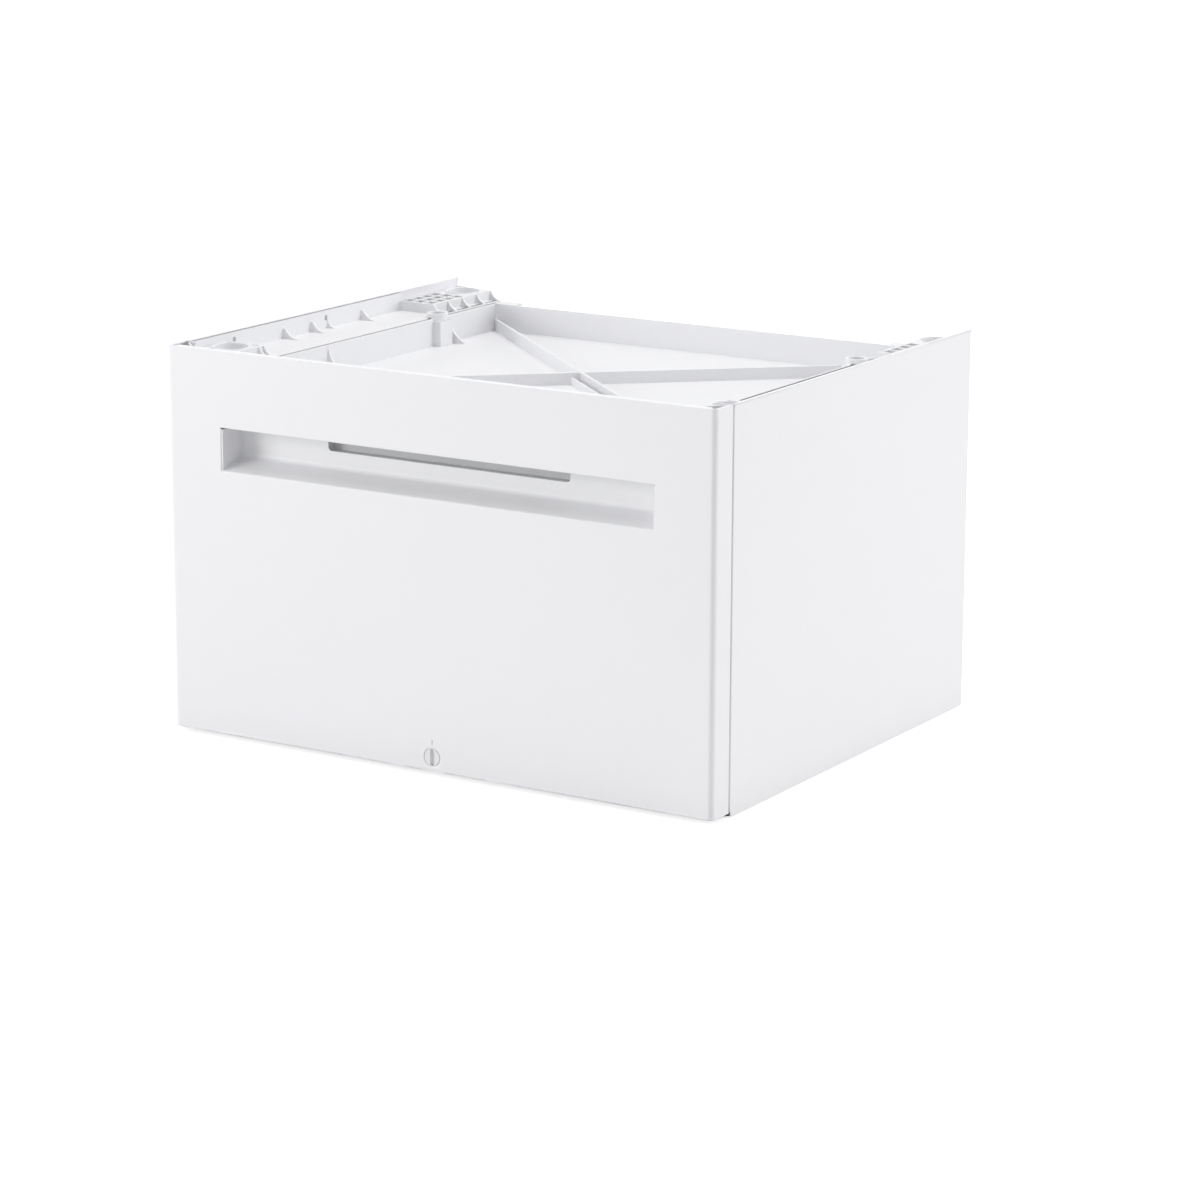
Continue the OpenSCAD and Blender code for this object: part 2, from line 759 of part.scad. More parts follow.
// Back of the shallow pan behind the plate's window, screwed to the drawer box
module drawer_front_pan() {
    color("#eceef0") difference() {
        span([-x_pan, y_pan - liner_t, z_pan_low], [x_pan, y_pan, z_pan_top]);
        rod_y(0, z_lock, y_pan - liner_t - eps, y_pan + eps, lock_shaft_r + part_gap);
        front_screw_places() rod_y(0, 0, y_pan - liner_t - eps, y_pan + eps, screw_hole_r);
    }
}

// Upper and lower wall of the pan
module pan_level_walls() {
    color("#eceef0") for (z = [z_pan_low, z_pan_top - liner_t])
        span([-x_pan, y_lip, z], [x_pan, y_pan - liner_t, z + liner_t]);
}

// Left and right wall of the pan, between the level ones
module pan_upright_walls() {
    color("#eceef0") both_sides()
        span([x_pan - liner_t, y_lip, z_pan_low + liner_t], [x_pan, y_pan - liner_t, z_pan_top - liner_t]);
}

// Side view of the recess: sloped floor, cove and upright back, as [y, z] points from the front
function recess_outline(y_wall, z_floor, z_roof, r) = let (
        y_centre = y_wall - r,
        y_touch = y_centre + r * sin(recess_slope),
        z_touch = z_floor + (y_touch - y_front) * tan(recess_slope),
        z_centre = z_touch + r * cos(recess_slope),
        steps = 8,
        cove = [for (k = [0:steps]) let (a = recess_slope - 90 + k * (90 - recess_slope) / steps)
                [y_centre + r * cos(a), z_centre + r * sin(a)]]
    ) concat([[y_front - eps, z_floor - eps * tan(recess_slope)]], cove,
             [[y_wall, z_roof], [y_front - eps, z_roof]]);

// Finger slot as an [x, z] outline with its two lower corners rounded
module slot_outline() {
    r = slot_corner_r;
    translate([-slot_w / 2, z_slot + r]) square([slot_w, slot_h - r]);
    translate([r - slot_w / 2, z_slot]) square([slot_w - 2 * r, slot_h]);
    for (s = [-1, 1]) translate([s * (slot_w / 2 - r), z_slot + r]) circle(r);
}

// White moulding that lines the handle opening, with the finger slot in its back wall
module handle_recess() {
    flange_t = 1.2;
    color("#eceef0") difference() {
        union() {
            intersection() {
                across_x(recess_w + 2 * recess_t)
                    polygon(recess_outline(y_recess_back + recess_t, z_recess_low - recess_t,
                                           z_recess_top + recess_t, recess_cove_r + recess_t));
                span([-x_out, y_skin_in, z_low], [x_out, y_return, z_top]);
            }
            span([-recess_w / 2 - recess_flange, y_skin_in, z_recess_low - recess_flange],
                 [recess_w / 2 + recess_flange, y_skin_in + flange_t, z_recess_top + recess_flange]);
        }
        across_x(recess_w)
            polygon(recess_outline(y_recess_back, z_recess_low, z_recess_top, recess_cove_r));
        along_y(y_recess_back - eps, y_recess_back + recess_t + eps) slot_outline();
    }
}

// Grey cup behind the finger slot: closed at the rear, open towards the slot
module finger_pocket() {
    y_mouth = y_recess_back + recess_t;
    y_bottom = y_mouth + pocket_depth;
    x_wall = slot_w / 2 + pocket_t;
    z_roof = z_recess_top + pocket_rise;
    color("#a9adb2") difference() {
        span([-x_wall, y_mouth, z_slot - pocket_t], [x_wall, y_bottom + pocket_t, z_roof]);
        span([pocket_t - x_wall, y_mouth - eps, z_slot], [x_wall - pocket_t, y_bottom, z_roof - pocket_t]);
    }
}

// ---- drawer box ----

// Floor with pressed beads along it
module drawer_bottom() {
    beads = 5;
    bead_w = 12;
    bead_rise = 1.2;
    bead_inset = 25;
    step = 2 * x_box / beads;
    color("#dfe2e5") union() {
        span([box_t - x_box, y_box_front, z_box], [x_box - box_t, y_box_rear - box_t, z_box + box_t]);
        for (k = [0:beads - 1]) {
            x = (k - (beads - 1) / 2) * step;
            span([x - bead_w / 2, y_box_front + bead_inset, z_box],
                 [x + bead_w / 2, y_box_rear - bead_inset, z_box + box_t + bead_rise]);
        }
    }
}

// One side of the drawer box, on the +X side, with its top edge folded inwards
module drawer_side() {
    color("#dfe2e5") difference() {
        union() {
            span([x_box - box_t, y_pan, z_box], [x_box, y_box_rear, z_box_top]);
            span([x_box - box_hem, y_box_front, z_box_top - box_t], [x_box, y_box_rear - box_t, z_box_top]);
        }
        inner_screw_places() rod_x(0, 0, x_box - box_t - eps, x_box + eps, screw_hole_r);
    }
}

module drawer_box_front() {
    color("#dfe2e5") difference() {
        span([box_t - x_box, y_pan, z_box], [x_box - box_t, y_box_front, z_box_top]);
        front_screw_places() rod_y(0, 0, y_pan - eps, y_box_front + eps, screw_hole_r);
    }
}

module drawer_back() {
    color("#dfe2e5")
        span([box_t - x_box, y_box_rear - box_t, z_box], [x_box - box_t, y_box_rear, z_box_top]);
}

// Rubber buffers that meet the base rails' ends when the drawer is shut
module drawer_bumpers() {
    bumper_r = 5;
    post_inset = 20;
    color("#3a3c3f") both_sides()
        rod_y(x_post + post_inset, z_base + base_h / 2, y_lip, y_frame - part_gap, bumper_r);
}

// ---- turn lock ----

// Sleeve in the drawer front; its wide part holds the plug and its neck guides the shaft
module lock_housing() {
    flange_w = 1.6;
    flange_t = 1.5;
    neck_wall = 2.5;
    sleeve_end = 2;
    rim_sink = 1.2;
    color("#eceef0") difference() {
        union() {
            rod_y(0, z_lock, y_lock + rim_sink, y_lock + plug_len + sleeve_end, housing_r);
            rod_y(0, z_lock, y_skin_in, y_skin_in + flange_t, housing_r + flange_w);
            rod_y(0, z_lock, y_lock, y_pan - liner_t, lock_shaft_r + neck_wall);
        }
        rod_y(0, z_lock, y_lock - eps, y_lock + plug_len, plug_r + run_fit);
        rod_y(0, z_lock, y_lock, y_pan, lock_shaft_r + run_fit);
    }
}

// Plug with an upright coin slot across its face, and the shaft that carries the cam
module lock_plug() {
    coin_w = 4.4;
    coin_depth = 2.5;
    screw_sink = 4;
    color("#e9ebee") difference() {
        union() {
            rod_y(0, z_lock, y_lock, y_lock + plug_len - part_gap, plug_r);
            rod_y(0, z_lock, y_lock + plug_len - eps, y_cam + cam_t, lock_shaft_r);
        }
        span([-coin_w / 2, y_lock - eps, z_lock - plug_r - eps],
             [coin_w / 2, y_lock + coin_depth, z_lock + plug_r + eps]);
        rod_y(0, z_lock, y_cam - screw_sink, y_cam + cam_t + eps, cam_screw_r);
        both_sides() span([cam_flat, y_cam, z_lock - plug_r], [plug_r, y_cam + cam_t + eps, z_lock + plug_r]);
    }
}

// Cam on the flattened end of the shaft; level at rest, so that it passes the striker's slot
module lock_cam() {
    color("#b9bcc0") difference() {
        union() {
            rod_y(0, z_lock, y_cam, y_cam + cam_t, cam_w / 2 + cam_boss);
            span([-cam_reach, y_cam, z_lock - cam_w / 2], [cam_reach, y_cam + cam_t, z_lock + cam_w / 2]);
        }
        intersection() {
            rod_y(0, z_lock, y_cam - eps, y_cam + cam_t + eps, lock_shaft_r);
            span([-cam_flat, y_cam - eps, z_lock - cam_w], [cam_flat, y_cam + cam_t + eps, z_lock + cam_w]);
        }
    }
}

module lock_cam_screw() {
    head_r = 3;
    screw_sink = 4;
    color("#8d9196") {
        rod_y(0, z_lock, y_cam - screw_sink, y_cam + cam_t, cam_screw_r);
        rod_y(0, z_lock, y_cam + cam_t, y_cam + cam_t + screw_head_h, head_r);
    }
}

// Ring on the shaft behind the liner, which keeps the plug in
module lock_retaining_ring() {
    ring_t = 1;
    ring_reach = 2.5;
    color("#8d9196") difference() {
        rod_y(0, z_lock, y_pan + part_gap, y_pan + part_gap + ring_t, lock_shaft_r + ring_reach);
        rod_y(0, z_lock, y_pan, y_pan + part_gap + ring_t + eps, lock_shaft_r);
    }
}

// Plate behind the front crossbar: the level cam passes its slot, the upright cam does not
module lock_striker() {
    plate_side = 18;
    x_slot = cam_reach + slot_play;
    z_slot_half = cam_w / 2 + cam_boss + slot_play / 2;
    color("#b9bcc0") difference() {
        span([-cam_reach - plate_side, y_striker, z_base + frame_t],
             [cam_reach + plate_side, y_striker + striker_t, z_base_top - frame_t]);
        span([-x_slot, y_striker - eps, z_lock - z_slot_half],
             [x_slot, y_striker + striker_t + eps, z_lock + z_slot_half]);
    }
}

// ---- screws and nuts ----

module back_panel_screws() {
    shank = 5;
    color("#8d9196") back_screw_places() {
        rod_y(0, 0, y_back + back_t, y_back + back_t + screw_head_h, screw_head_r);
        rod_y(0, 0, y_back - shank, y_back + back_t, screw_r);
    }
}

// Countersunk in the outer slide members, so that the cages run past them
module slide_outer_screws() {
    shank = 6;
    color("#8d9196") both_sides() slide_screw_places() {
        translate([x_post - slide_t, 0, 0]) rotate([0, 90, 0])
            cylinder(h = slide_t, r1 = screw_head_r, r2 = screw_r);
        rod_x(0, 0, x_post, x_post + shank, screw_r);
    }
}

module slide_inner_screws() {
    tip = 1;
    color("#8d9196") both_sides() inner_screw_places() {
        rod_x(0, 0, x_box - box_t - screw_head_h, x_box - box_t, screw_head_r);
        rod_x(0, 0, x_box - box_t, x_box + slide_t + tip, screw_r);
    }
}

module drawer_front_screws() {
    tip = 3;
    color("#8d9196") front_screw_places() {
        rod_y(0, 0, y_box_front, y_box_front + screw_head_h, screw_head_r);
        rod_y(0, 0, y_pan - liner_t - tip, y_box_front, screw_r);
    }
}

// Nuts welded into the base rails
module foot_nuts() {
    z_nut = z_base + frame_t;
    color("#8d9196") both_sides() for (y = [y_foot_front, y_foot_rear]) difference() {
        translate([x_foot, y, z_nut]) cylinder(h = nut_h, r = nut_width / 2 / cos(30), $fn = 6);
        rod_z(x_foot, y, z_nut - eps, z_nut + nut_h + eps, stud_r + run_fit);
    }
}

// ---- feet, on the +X side ----

// Dark pad with chamfered edges and a socket for its stud
module foot_pad(y) {
    edge = 1;
    r = pad_r - edge;
    side = [[0, 0], [r, 0], [pad_r, edge], [pad_r, pad_t - edge], [r, pad_t], [0, pad_t]];
    color("#55585c") difference() {
        translate([x_foot, y, 0]) rotate_extrude() polygon(side);
        rod_z(x_foot, y, socket_h, pad_t + eps, stud_r);
    }
}

module foot_stud(y) {
    color("#8d9196") rod_z(x_foot, y, socket_h, stud_top, stud_r);
}

mirror([1, 0, 0]) side_panel();  // left_side_panel
side_panel();  // right_side_panel
back_panel();
mirror([1, 0, 0]) base_rail();  // left_base_rail
base_rail();  // right_base_rail
front_base_crossbar();
rear_base_crossbar();
top_crossbar(y_slide);  // front_top_crossbar
top_crossbar(y_back - top_bar_d);  // rear_top_crossbar
mirror([1, 0, 0]) post(y_cup_front);  // front_left_post
post(y_cup_front);  // front_right_post
mirror([1, 0, 0]) post(y_cup_rear);  // rear_left_post
post(y_cup_rear);  // rear_right_post
mirror([1, 0, 0]) top_rail();  // left_top_rail
top_rail();  // right_top_rail
top_tray();
mirror([1, 0, 0]) slide_outer();  // left_slide_outer
slide_outer();  // right_slide_outer
lock_striker();
foot_nuts();
back_panel_screws();
slide_outer_screws();
drawer_front_skin();
drawer_front_cap();
drawer_front_liner();
drawer_front_pan();
pan_level_walls();
pan_upright_walls();
handle_recess();
finger_pocket();
drawer_bottom();
mirror([1, 0, 0]) drawer_side();  // drawer_left_side
drawer_side();  // drawer_right_side
drawer_box_front();
drawer_back();
mirror([1, 0, 0]) slide_inner();  // left_slide_inner
slide_inner();  // right_slide_inner
lock_housing();
drawer_front_screws();
slide_inner_screws();
drawer_bumpers();
mirror([1, 0, 0]) slide_middle();  // left_slide_middle
slide_middle();  // right_slide_middle
mirror([1, 0, 0]) outer_ball_cage();  // left_outer_ball_cage
mirror([1, 0, 0]) inner_ball_cage();  // left_inner_ball_cage
outer_ball_cage();  // right_outer_ball_cage
inner_ball_cage();  // right_inner_ball_cage
lock_plug();
lock_cam();
lock_cam_screw();
lock_retaining_ring();
mirror([1, 0, 0]) foot_pad(y_foot_front);  // front_left_foot_pad
mirror([1, 0, 0]) foot_stud(y_foot_front);  // front_left_foot_stud
foot_pad(y_foot_front);  // front_right_foot_pad
foot_stud(y_foot_front);  // front_right_foot_stud
mirror([1, 0, 0]) foot_pad(y_foot_rear);  // rear_left_foot_pad
mirror([1, 0, 0]) foot_stud(y_foot_rear);  // rear_left_foot_stud
foot_pad(y_foot_rear);  // rear_right_foot_pad
foot_stud(y_foot_rear);  // rear_right_foot_stud
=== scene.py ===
"""White laundry pedestal with one drawer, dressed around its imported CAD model. Lengths in metres."""
import json
import math

import bmesh
import bpy
import numpy as np
from mathutils import Matrix, Vector

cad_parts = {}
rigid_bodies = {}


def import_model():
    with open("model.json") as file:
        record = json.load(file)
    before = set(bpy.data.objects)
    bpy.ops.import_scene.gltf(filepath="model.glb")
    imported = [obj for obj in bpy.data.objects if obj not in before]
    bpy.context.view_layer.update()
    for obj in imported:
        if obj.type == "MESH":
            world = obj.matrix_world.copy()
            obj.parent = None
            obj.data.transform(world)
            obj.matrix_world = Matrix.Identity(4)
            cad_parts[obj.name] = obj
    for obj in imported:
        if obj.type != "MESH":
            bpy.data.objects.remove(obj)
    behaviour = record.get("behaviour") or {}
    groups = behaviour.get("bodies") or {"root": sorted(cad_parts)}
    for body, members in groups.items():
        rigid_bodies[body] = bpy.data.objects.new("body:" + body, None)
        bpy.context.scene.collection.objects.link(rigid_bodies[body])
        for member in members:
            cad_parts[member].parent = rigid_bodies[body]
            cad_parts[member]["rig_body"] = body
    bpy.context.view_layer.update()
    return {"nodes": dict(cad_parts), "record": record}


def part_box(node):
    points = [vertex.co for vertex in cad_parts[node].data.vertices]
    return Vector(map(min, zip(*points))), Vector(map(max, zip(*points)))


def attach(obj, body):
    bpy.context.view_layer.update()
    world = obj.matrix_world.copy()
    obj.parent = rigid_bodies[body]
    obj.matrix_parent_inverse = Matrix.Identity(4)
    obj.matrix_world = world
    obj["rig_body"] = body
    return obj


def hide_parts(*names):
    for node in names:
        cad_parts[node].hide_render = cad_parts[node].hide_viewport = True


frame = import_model()
MM = 0.001
SIDES = {"left": -1, "right": 1}

# ---- sizes, read off the CAD nodes ----

SKIN_LOW, SKIN_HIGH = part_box("drawer_front_skin")
RECESS_LOW, RECESS_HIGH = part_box("handle_recess")
PANEL_LOW, PANEL_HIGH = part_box("right_side_panel")
PLUG_LOW, PLUG_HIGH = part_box("lock_plug")
Z_TOP = SKIN_HIGH.z
Z_LOW = SKIN_LOW.z
Z_LOCK = (PLUG_LOW.z + PLUG_HIGH.z) / 2
DASH_RISE, DASH_WIDTH, DASH_HEIGHT = 14.6 * MM, 1.2 * MM, 5 * MM
DASH_DARK = 0.4


# ---- meshes ----

MERGE_GRID = 0.02 * MM  # points of neighbouring patches this close are one
MERGE_CAD = 0.01 * MM  # corners of a CAD node's loose triangles this close are one
FLAT_WITHIN = math.radians(0.5)
SLACK = 1e-6  # metres, for comparing places that should be equal


def grid_faces(rows, columns):
    """Quads of a grid of points: point (row, column) is number row * columns + column."""
    row, column = np.meshgrid(np.arange(rows - 1), np.arange(columns - 1), indexing="ij")
    first = row * columns + column
    return np.stack([first, first + 1, first + columns + 1, first + columns], -1).reshape(-1, 4)


def arc(turn_from, turn_to, steps):
    """Angles in radians from one turn to another, given in degrees."""
    return np.radians(np.linspace(turn_from, turn_to, steps + 1))


def new_object(name, mesh):
    made = bpy.data.objects.new(name, mesh)
    bpy.context.scene.collection.objects.link(made)
    return made


def surface(name, patches):
    """One mesh from patches, each a pair of a point array and a quad array; meeting points are merged."""
    points, faces, count = [], [], 0
    for patch_points, patch_faces in patches:
        flat = np.asarray(patch_points, float).reshape(-1, 3)
        points.append(flat)
        faces.append(np.asarray(patch_faces) + count)
        count += len(flat)
    mesh = bpy.data.meshes.new(name)
    mesh.from_pydata(np.concatenate(points).tolist(), [], np.concatenate(faces).tolist())
    shell = bmesh.new()
    shell.from_mesh(mesh)
    bmesh.ops.remove_doubles(shell, verts=shell.verts, dist=MERGE_GRID)
    loose = [v for v in shell.verts if not v.link_faces]
    bmesh.ops.delete(shell, geom=loose, context="VERTS")
    shell.to_mesh(mesh)
    shell.free()
    return new_object(name, mesh)


def with_thickness(piece, thickness):
    """Gives an open surface its wall, on the side away from its outer face, and applies it."""
    wall = piece.modifiers.new("Wall", "SOLIDIFY")
    wall.thickness = thickness
    wall.offset = -1
    bpy.context.view_layer.update()
    solid = bpy.data.meshes.new_from_object(piece.evaluated_get(bpy.context.evaluated_depsgraph_get()))
    piece.modifiers.clear()
    piece.data = solid
    return piece


def weighted(piece, by_strength=False):
    """Large faces keep their own normals, so that only the small ones between them are shaded round.
    By strength, the faces beside a bevel also outweigh those within it."""
    normals = piece.modifiers.new("Normals", "WEIGHTED_NORMAL")
    normals.mode = "FACE_AREA"
    normals.weight = 50
    normals.keep_sharp = True
    normals.use_face_influence = by_strength
    return piece


def rounded_edges(piece, width, sharper_than=32):
    """Rounds the edges that turn by more than an angle in degrees, and shades all faces smoothly."""
    piece.data.polygons.foreach_set("use_smooth", np.ones(len(piece.data.polygons), bool))
    edges = piece.modifiers.new("Edges", "BEVEL")
    edges.width = width
    edges.segments = 2
    edges.limit_method = "ANGLE"
    edges.angle_limit = math.radians(sharper_than)
    edges.use_clamp_overlap = False
    edges.loop_slide = False
    edges.face_strength_mode = "FSTR_AFFECTED"
    return weighted(piece, by_strength=True)


def smooth(piece, sharp):
    """Smooth shading that breaks at edges sharper than an angle in degrees."""
    piece.data.polygons.foreach_set("use_smooth", np.ones(len(piece.data.polygons), bool))
    piece.data.set_sharp_from_angle(angle=math.radians(sharp))
    return weighted(piece)


def dress(piece, node, material):
    """The piece stands for a CAD node, rides on its body and takes its material slot."""
    piece.data.materials.clear()
    piece.data.materials.append(material)
    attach(piece, frame["nodes"][node]["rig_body"])
    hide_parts(node)
    return piece


def softened(node, material, width):
    """A copy of a CAD node with merged corners, its flat faces cut anew, and its edges rounded."""
    mesh = frame["nodes"][node].data.copy()
    shell = bmesh.new()
    shell.from_mesh(mesh)
    bmesh.ops.remove_doubles(shell, verts=shell.verts, dist=MERGE_CAD)
    bmesh.ops.dissolve_limit(shell, angle_limit=FLAT_WITHIN, verts=shell.verts, edges=shell.edges)
    bmesh.ops.triangulate(shell, faces=[face for face in shell.faces if len(face.verts) > 4])
    shell.to_mesh(mesh)
    shell.free()
    piece = new_object(node + "_dressed", mesh)
    rounded_edges(piece, width)
    return dress(piece, node, material)


SLOT_OF = {part["node"]: part["material_slot"] for part in frame["record"]["subparts"]}


# ---- effects shared by materials ----

def new_group(name, inputs, outputs):
    """Empty shader group with named float or colour sockets, given as {name: default}."""
    group = bpy.data.node_groups.new(name, "ShaderNodeTree")
    for label, default in inputs.items():
        kind = "NodeSocketFloat" if np.isscalar(default) else "NodeSocketColor"
        made = group.interface.new_socket(name=label, in_out="INPUT", socket_type=kind)
        made.default_value = default
    for label, kind in outputs.items():
        group.interface.new_socket(name=label, in_out="OUTPUT", socket_type=kind)
    return group, group.nodes.new("NodeGroupInput"), group.nodes.new("NodeGroupOutput")


def add(tree, kind, **values):
    """A node whose inputs are set by name; underscores in the names stand for spaces."""
    node = tree.nodes.new(kind)
    for label, value in values.items():
        key = label.replace("_", " ")
        if key in node.inputs:
            node.inputs[key].default_value = value
        else:
            setattr(node, label, value)
    return node


def maths(tree, operation, first, second, clamp=False):
    """A Math node; each side is a socket or a number."""
    node = tree.nodes.new("ShaderNodeMath")
    node.operation = operation
    node.use_clamp = clamp
    for index, side in enumerate((first, second)):
        if isinstance(side, (int, float)):
            node.inputs[index].default_value = side
        else:
            tree.links.new(side, node.inputs[index])
    return node.outputs[0]


def noise(tree, scale, detail, rough=0.5):
    """Noise on object coordinates, which are the CAD frame in metres."""
    place = tree.nodes.new("ShaderNodeTexCoord")
    made = add(tree, "ShaderNodeTexNoise", Scale=scale, Detail=detail, Roughness=rough)
    tree.links.new(place.outputs["Object"], made.inputs["Vector"])
    return made.outputs["Fac"]


def mottle_group():
    """Slow changes of tone over a surface: the colour times 1 - amount to 1, after two sizes of noise."""
    group, start, end = new_group(
        "Mottle", {"Colour": (1, 1, 1, 1), "Amount": 0.03, "Fine Scale": 90.0, "Broad Scale": 5.0},
        {"Colour": "NodeSocketColor", "Mask": "NodeSocketFloat"})
    broad = noise(group, 5.0, 3.0)
    fine = noise(group, 90.0, 4.0)
    for field, label in ((broad, "Broad Scale"), (fine, "Fine Scale")):
        group.links.new(start.outputs[label], field.node.inputs["Scale"])
    mask = maths(group, "MULTIPLY", maths(group, "ADD", broad, fine), 0.5)
    loss = maths(group, "MULTIPLY", mask, start.outputs["Amount"])
    keep = maths(group, "SUBTRACT", 1.0, loss)
    tint = add(group, "ShaderNodeVectorMath", operation="SCALE")
    group.links.new(start.outputs["Colour"], tint.inputs[0])
    group.links.new(keep, tint.inputs["Scale"])
    group.links.new(tint.outputs[0], end.inputs["Colour"])
    group.links.new(mask, end.inputs["Mask"])
    return group


def grain_group():
    """Fine relief of a surface: the sum of a small and a larger noise, each with its own height."""
    group, start, end = new_group(
        "Grain", {"Small Scale": 1500.0, "Small Height": 0.5, "Large Scale": 120.0, "Large Height": 0.5},
        {"Height": "NodeSocketFloat"})
    small = noise(group, 1500.0, 2.0)
    large = noise(group, 120.0, 2.0)
    group.links.new(start.outputs["Small Scale"], small.node.inputs["Scale"])
    group.links.new(start.outputs["Large Scale"], large.node.inputs["Scale"])
    total = maths(group, "ADD", maths(group, "MULTIPLY", small, start.outputs["Small Height"]),
                  maths(group, "MULTIPLY", large, start.outputs["Large Height"]))
    group.links.new(total, end.inputs["Height"])
    return group


def dust_group():
    """Faint dust: strongest near the floor, and on faces that look up, broken by noise."""
    group, start, end = new_group(
        "Dust", {"Colour": (1, 1, 1, 1), "Dust Colour": (0.5, 0.48, 0.45, 1), "Low Height": 0.03,
                 "Low Amount": 0.1, "Top Amount": 0.03},
        {"Colour": "NodeSocketColor", "Mask": "NodeSocketFloat"})
    place = group.nodes.new("ShaderNodeTexCoord")
    parts = group.nodes.new("ShaderNodeSeparateXYZ")
    group.links.new(place.outputs["Object"], parts.inputs[0])
    facing = group.nodes.new("ShaderNodeNewGeometry")
    normal = group.nodes.new("ShaderNodeSeparateXYZ")
    group.links.new(facing.outputs["Normal"], normal.inputs[0])
    height = maths(group, "DIVIDE", parts.outputs["Z"], start.outputs["Low Height"])
    low = maths(group, "MULTIPLY", maths(group, "SUBTRACT", 1.0, height, True), start.outputs["Low Amount"])
    up = maths(group, "MULTIPLY", maths(group, "MAXIMUM", normal.outputs["Z"], 0.0),
               start.outputs["Top Amount"])
    mask = maths(group, "MULTIPLY", maths(group, "ADD", low, up), noise(group, 260.0, 5.0, 0.6), True)
    mix = add(group, "ShaderNodeMix", data_type="RGBA")
    group.links.new(mask, mix.inputs[0])
    group.links.new(start.outputs["Colour"], mix.inputs[6])
    group.links.new(start.outputs["Dust Colour"], mix.inputs[7])
    group.links.new(mix.outputs[2], end.inputs["Colour"])
    group.links.new(mask, end.inputs["Mask"])
    return group


MOTTLE = mottle_group()
GRAIN = grain_group()
DUST = dust_group()


def use_group(tree, group, values):
    node = tree.nodes.new("ShaderNodeGroup")
    node.node_tree = group
    for label, value in values.items():
        node.inputs[label].default_value = value
    return node


def finish_material(name, colour, rough, rough_swing=0.05, metal=0.0, mottle=0.03, mottle_fine=90.0,
                    grain=(1500.0, 0.5, 120.0, 0.5), relief=0.02, dust=0.08, dust_top=0.03, coat=0.0):
    """A finish: mottled and dusted colour, uneven roughness and a fine relief."""
    material = bpy.data.materials.new(name)
    material.use_nodes = True
    tree = material.node_tree
    shader = tree.nodes["Principled BSDF"]
    shader.inputs["Metallic"].default_value = metal
    shader.inputs["Coat Weight"].default_value = coat
    shader.inputs["Coat Roughness"].default_value = 0.12
    tone = use_group(tree, MOTTLE, {"Colour": (*colour, 1), "Amount": mottle, "Fine Scale": mottle_fine})
    dusty = use_group(tree, DUST, {"Low Amount": dust, "Top Amount": dust_top})
    tree.links.new(tone.outputs["Colour"], dusty.inputs["Colour"])
    tree.links.new(dusty.outputs["Colour"], shader.inputs["Base Color"])
    uneven = maths(tree, "MULTIPLY", tone.outputs["Mask"], rough_swing)
    dulled = maths(tree, "ADD", maths(tree, "ADD", uneven, rough - rough_swing / 2), dusty.outputs["Mask"])
    tree.links.new(dulled, shader.inputs["Roughness"])
    texture = use_group(tree, GRAIN, {"Small Scale": grain[0], "Small Height": grain[1],
                                      "Large Scale": grain[2], "Large Height": grain[3]})
    bump = add(tree, "ShaderNodeBump", Strength=relief, Distance=MM)
    tree.links.new(texture.outputs["Height"], bump.inputs["Height"])
    tree.links.new(bump.outputs["Normal"], shader.inputs["Normal"])
    return material


def shaded_by(material, factor):
    """Multiplies the material's base colour by a value."""
    tree = material.node_tree
    base = tree.nodes["Principled BSDF"].inputs["Base Color"]
    tint = add(tree, "ShaderNodeVectorMath", operation="SCALE")
    tree.links.new(base.links[0].from_socket, tint.inputs[0])
    tree.links.new(factor, tint.inputs["Scale"])
    tree.links.new(tint.outputs[0], base)
    return material


def white_enamel():
    """Smooth white paint with a faint orange peel, and a grey index dash above the lock."""
    material = finish_material("white_enamel", (0.903, 0.903, 0.925), 0.33, 0.06, mottle=0.015,
                               mottle_fine=14.0, grain=(900.0, 0.25, 260.0, 0.75), relief=0.05, coat=0.15)
    tree = material.node_tree
    place = tree.nodes.new("ShaderNodeTexCoord")
    parts = tree.nodes.new("ShaderNodeSeparateXYZ")
    tree.links.new(place.outputs["Object"], parts.inputs[0])
    across = maths(tree, "ABSOLUTE", parts.outputs["X"], 0.0)
    up = maths(tree, "ABSOLUTE", maths(tree, "SUBTRACT", parts.outputs["Z"], Z_LOCK + DASH_RISE), 0.0)
    on_dash = maths(tree, "MULTIPLY", maths(tree, "LESS_THAN", across, DASH_WIDTH / 2),
                    maths(tree, "LESS_THAN", up, DASH_HEIGHT / 2))
    return shaded_by(material, maths(tree, "SUBTRACT", 1.0, maths(tree, "MULTIPLY", on_dash, DASH_DARK)))


def white_plastic():
    """Matt moulded plastic with a fine spark-eroded grain."""
    return finish_material("white_plastic", (0.845, 0.847, 0.862), 0.46, 0.08, mottle=0.03, mottle_fine=30.0,
                           grain=(1900.0, 0.8, 300.0, 0.3), relief=0.10)


# Its grey is painted shade: the finger pocket is white plastic in shadow, and this darker copy of the white
# plastic stands for that shade.
def grey_plastic():
    return finish_material("grey_plastic", (0.72, 0.725, 0.735), 0.5, 0.08, grain=(1900.0, 0.8, 300.0, 0.3),
                           relief=0.12)


def drawer_paint():
    return finish_material("drawer_paint", (0.78, 0.79, 0.80), 0.4, 0.06, mottle=0.02,
                           grain=(900.0, 0.25, 260.0, 0.75), relief=0.05)


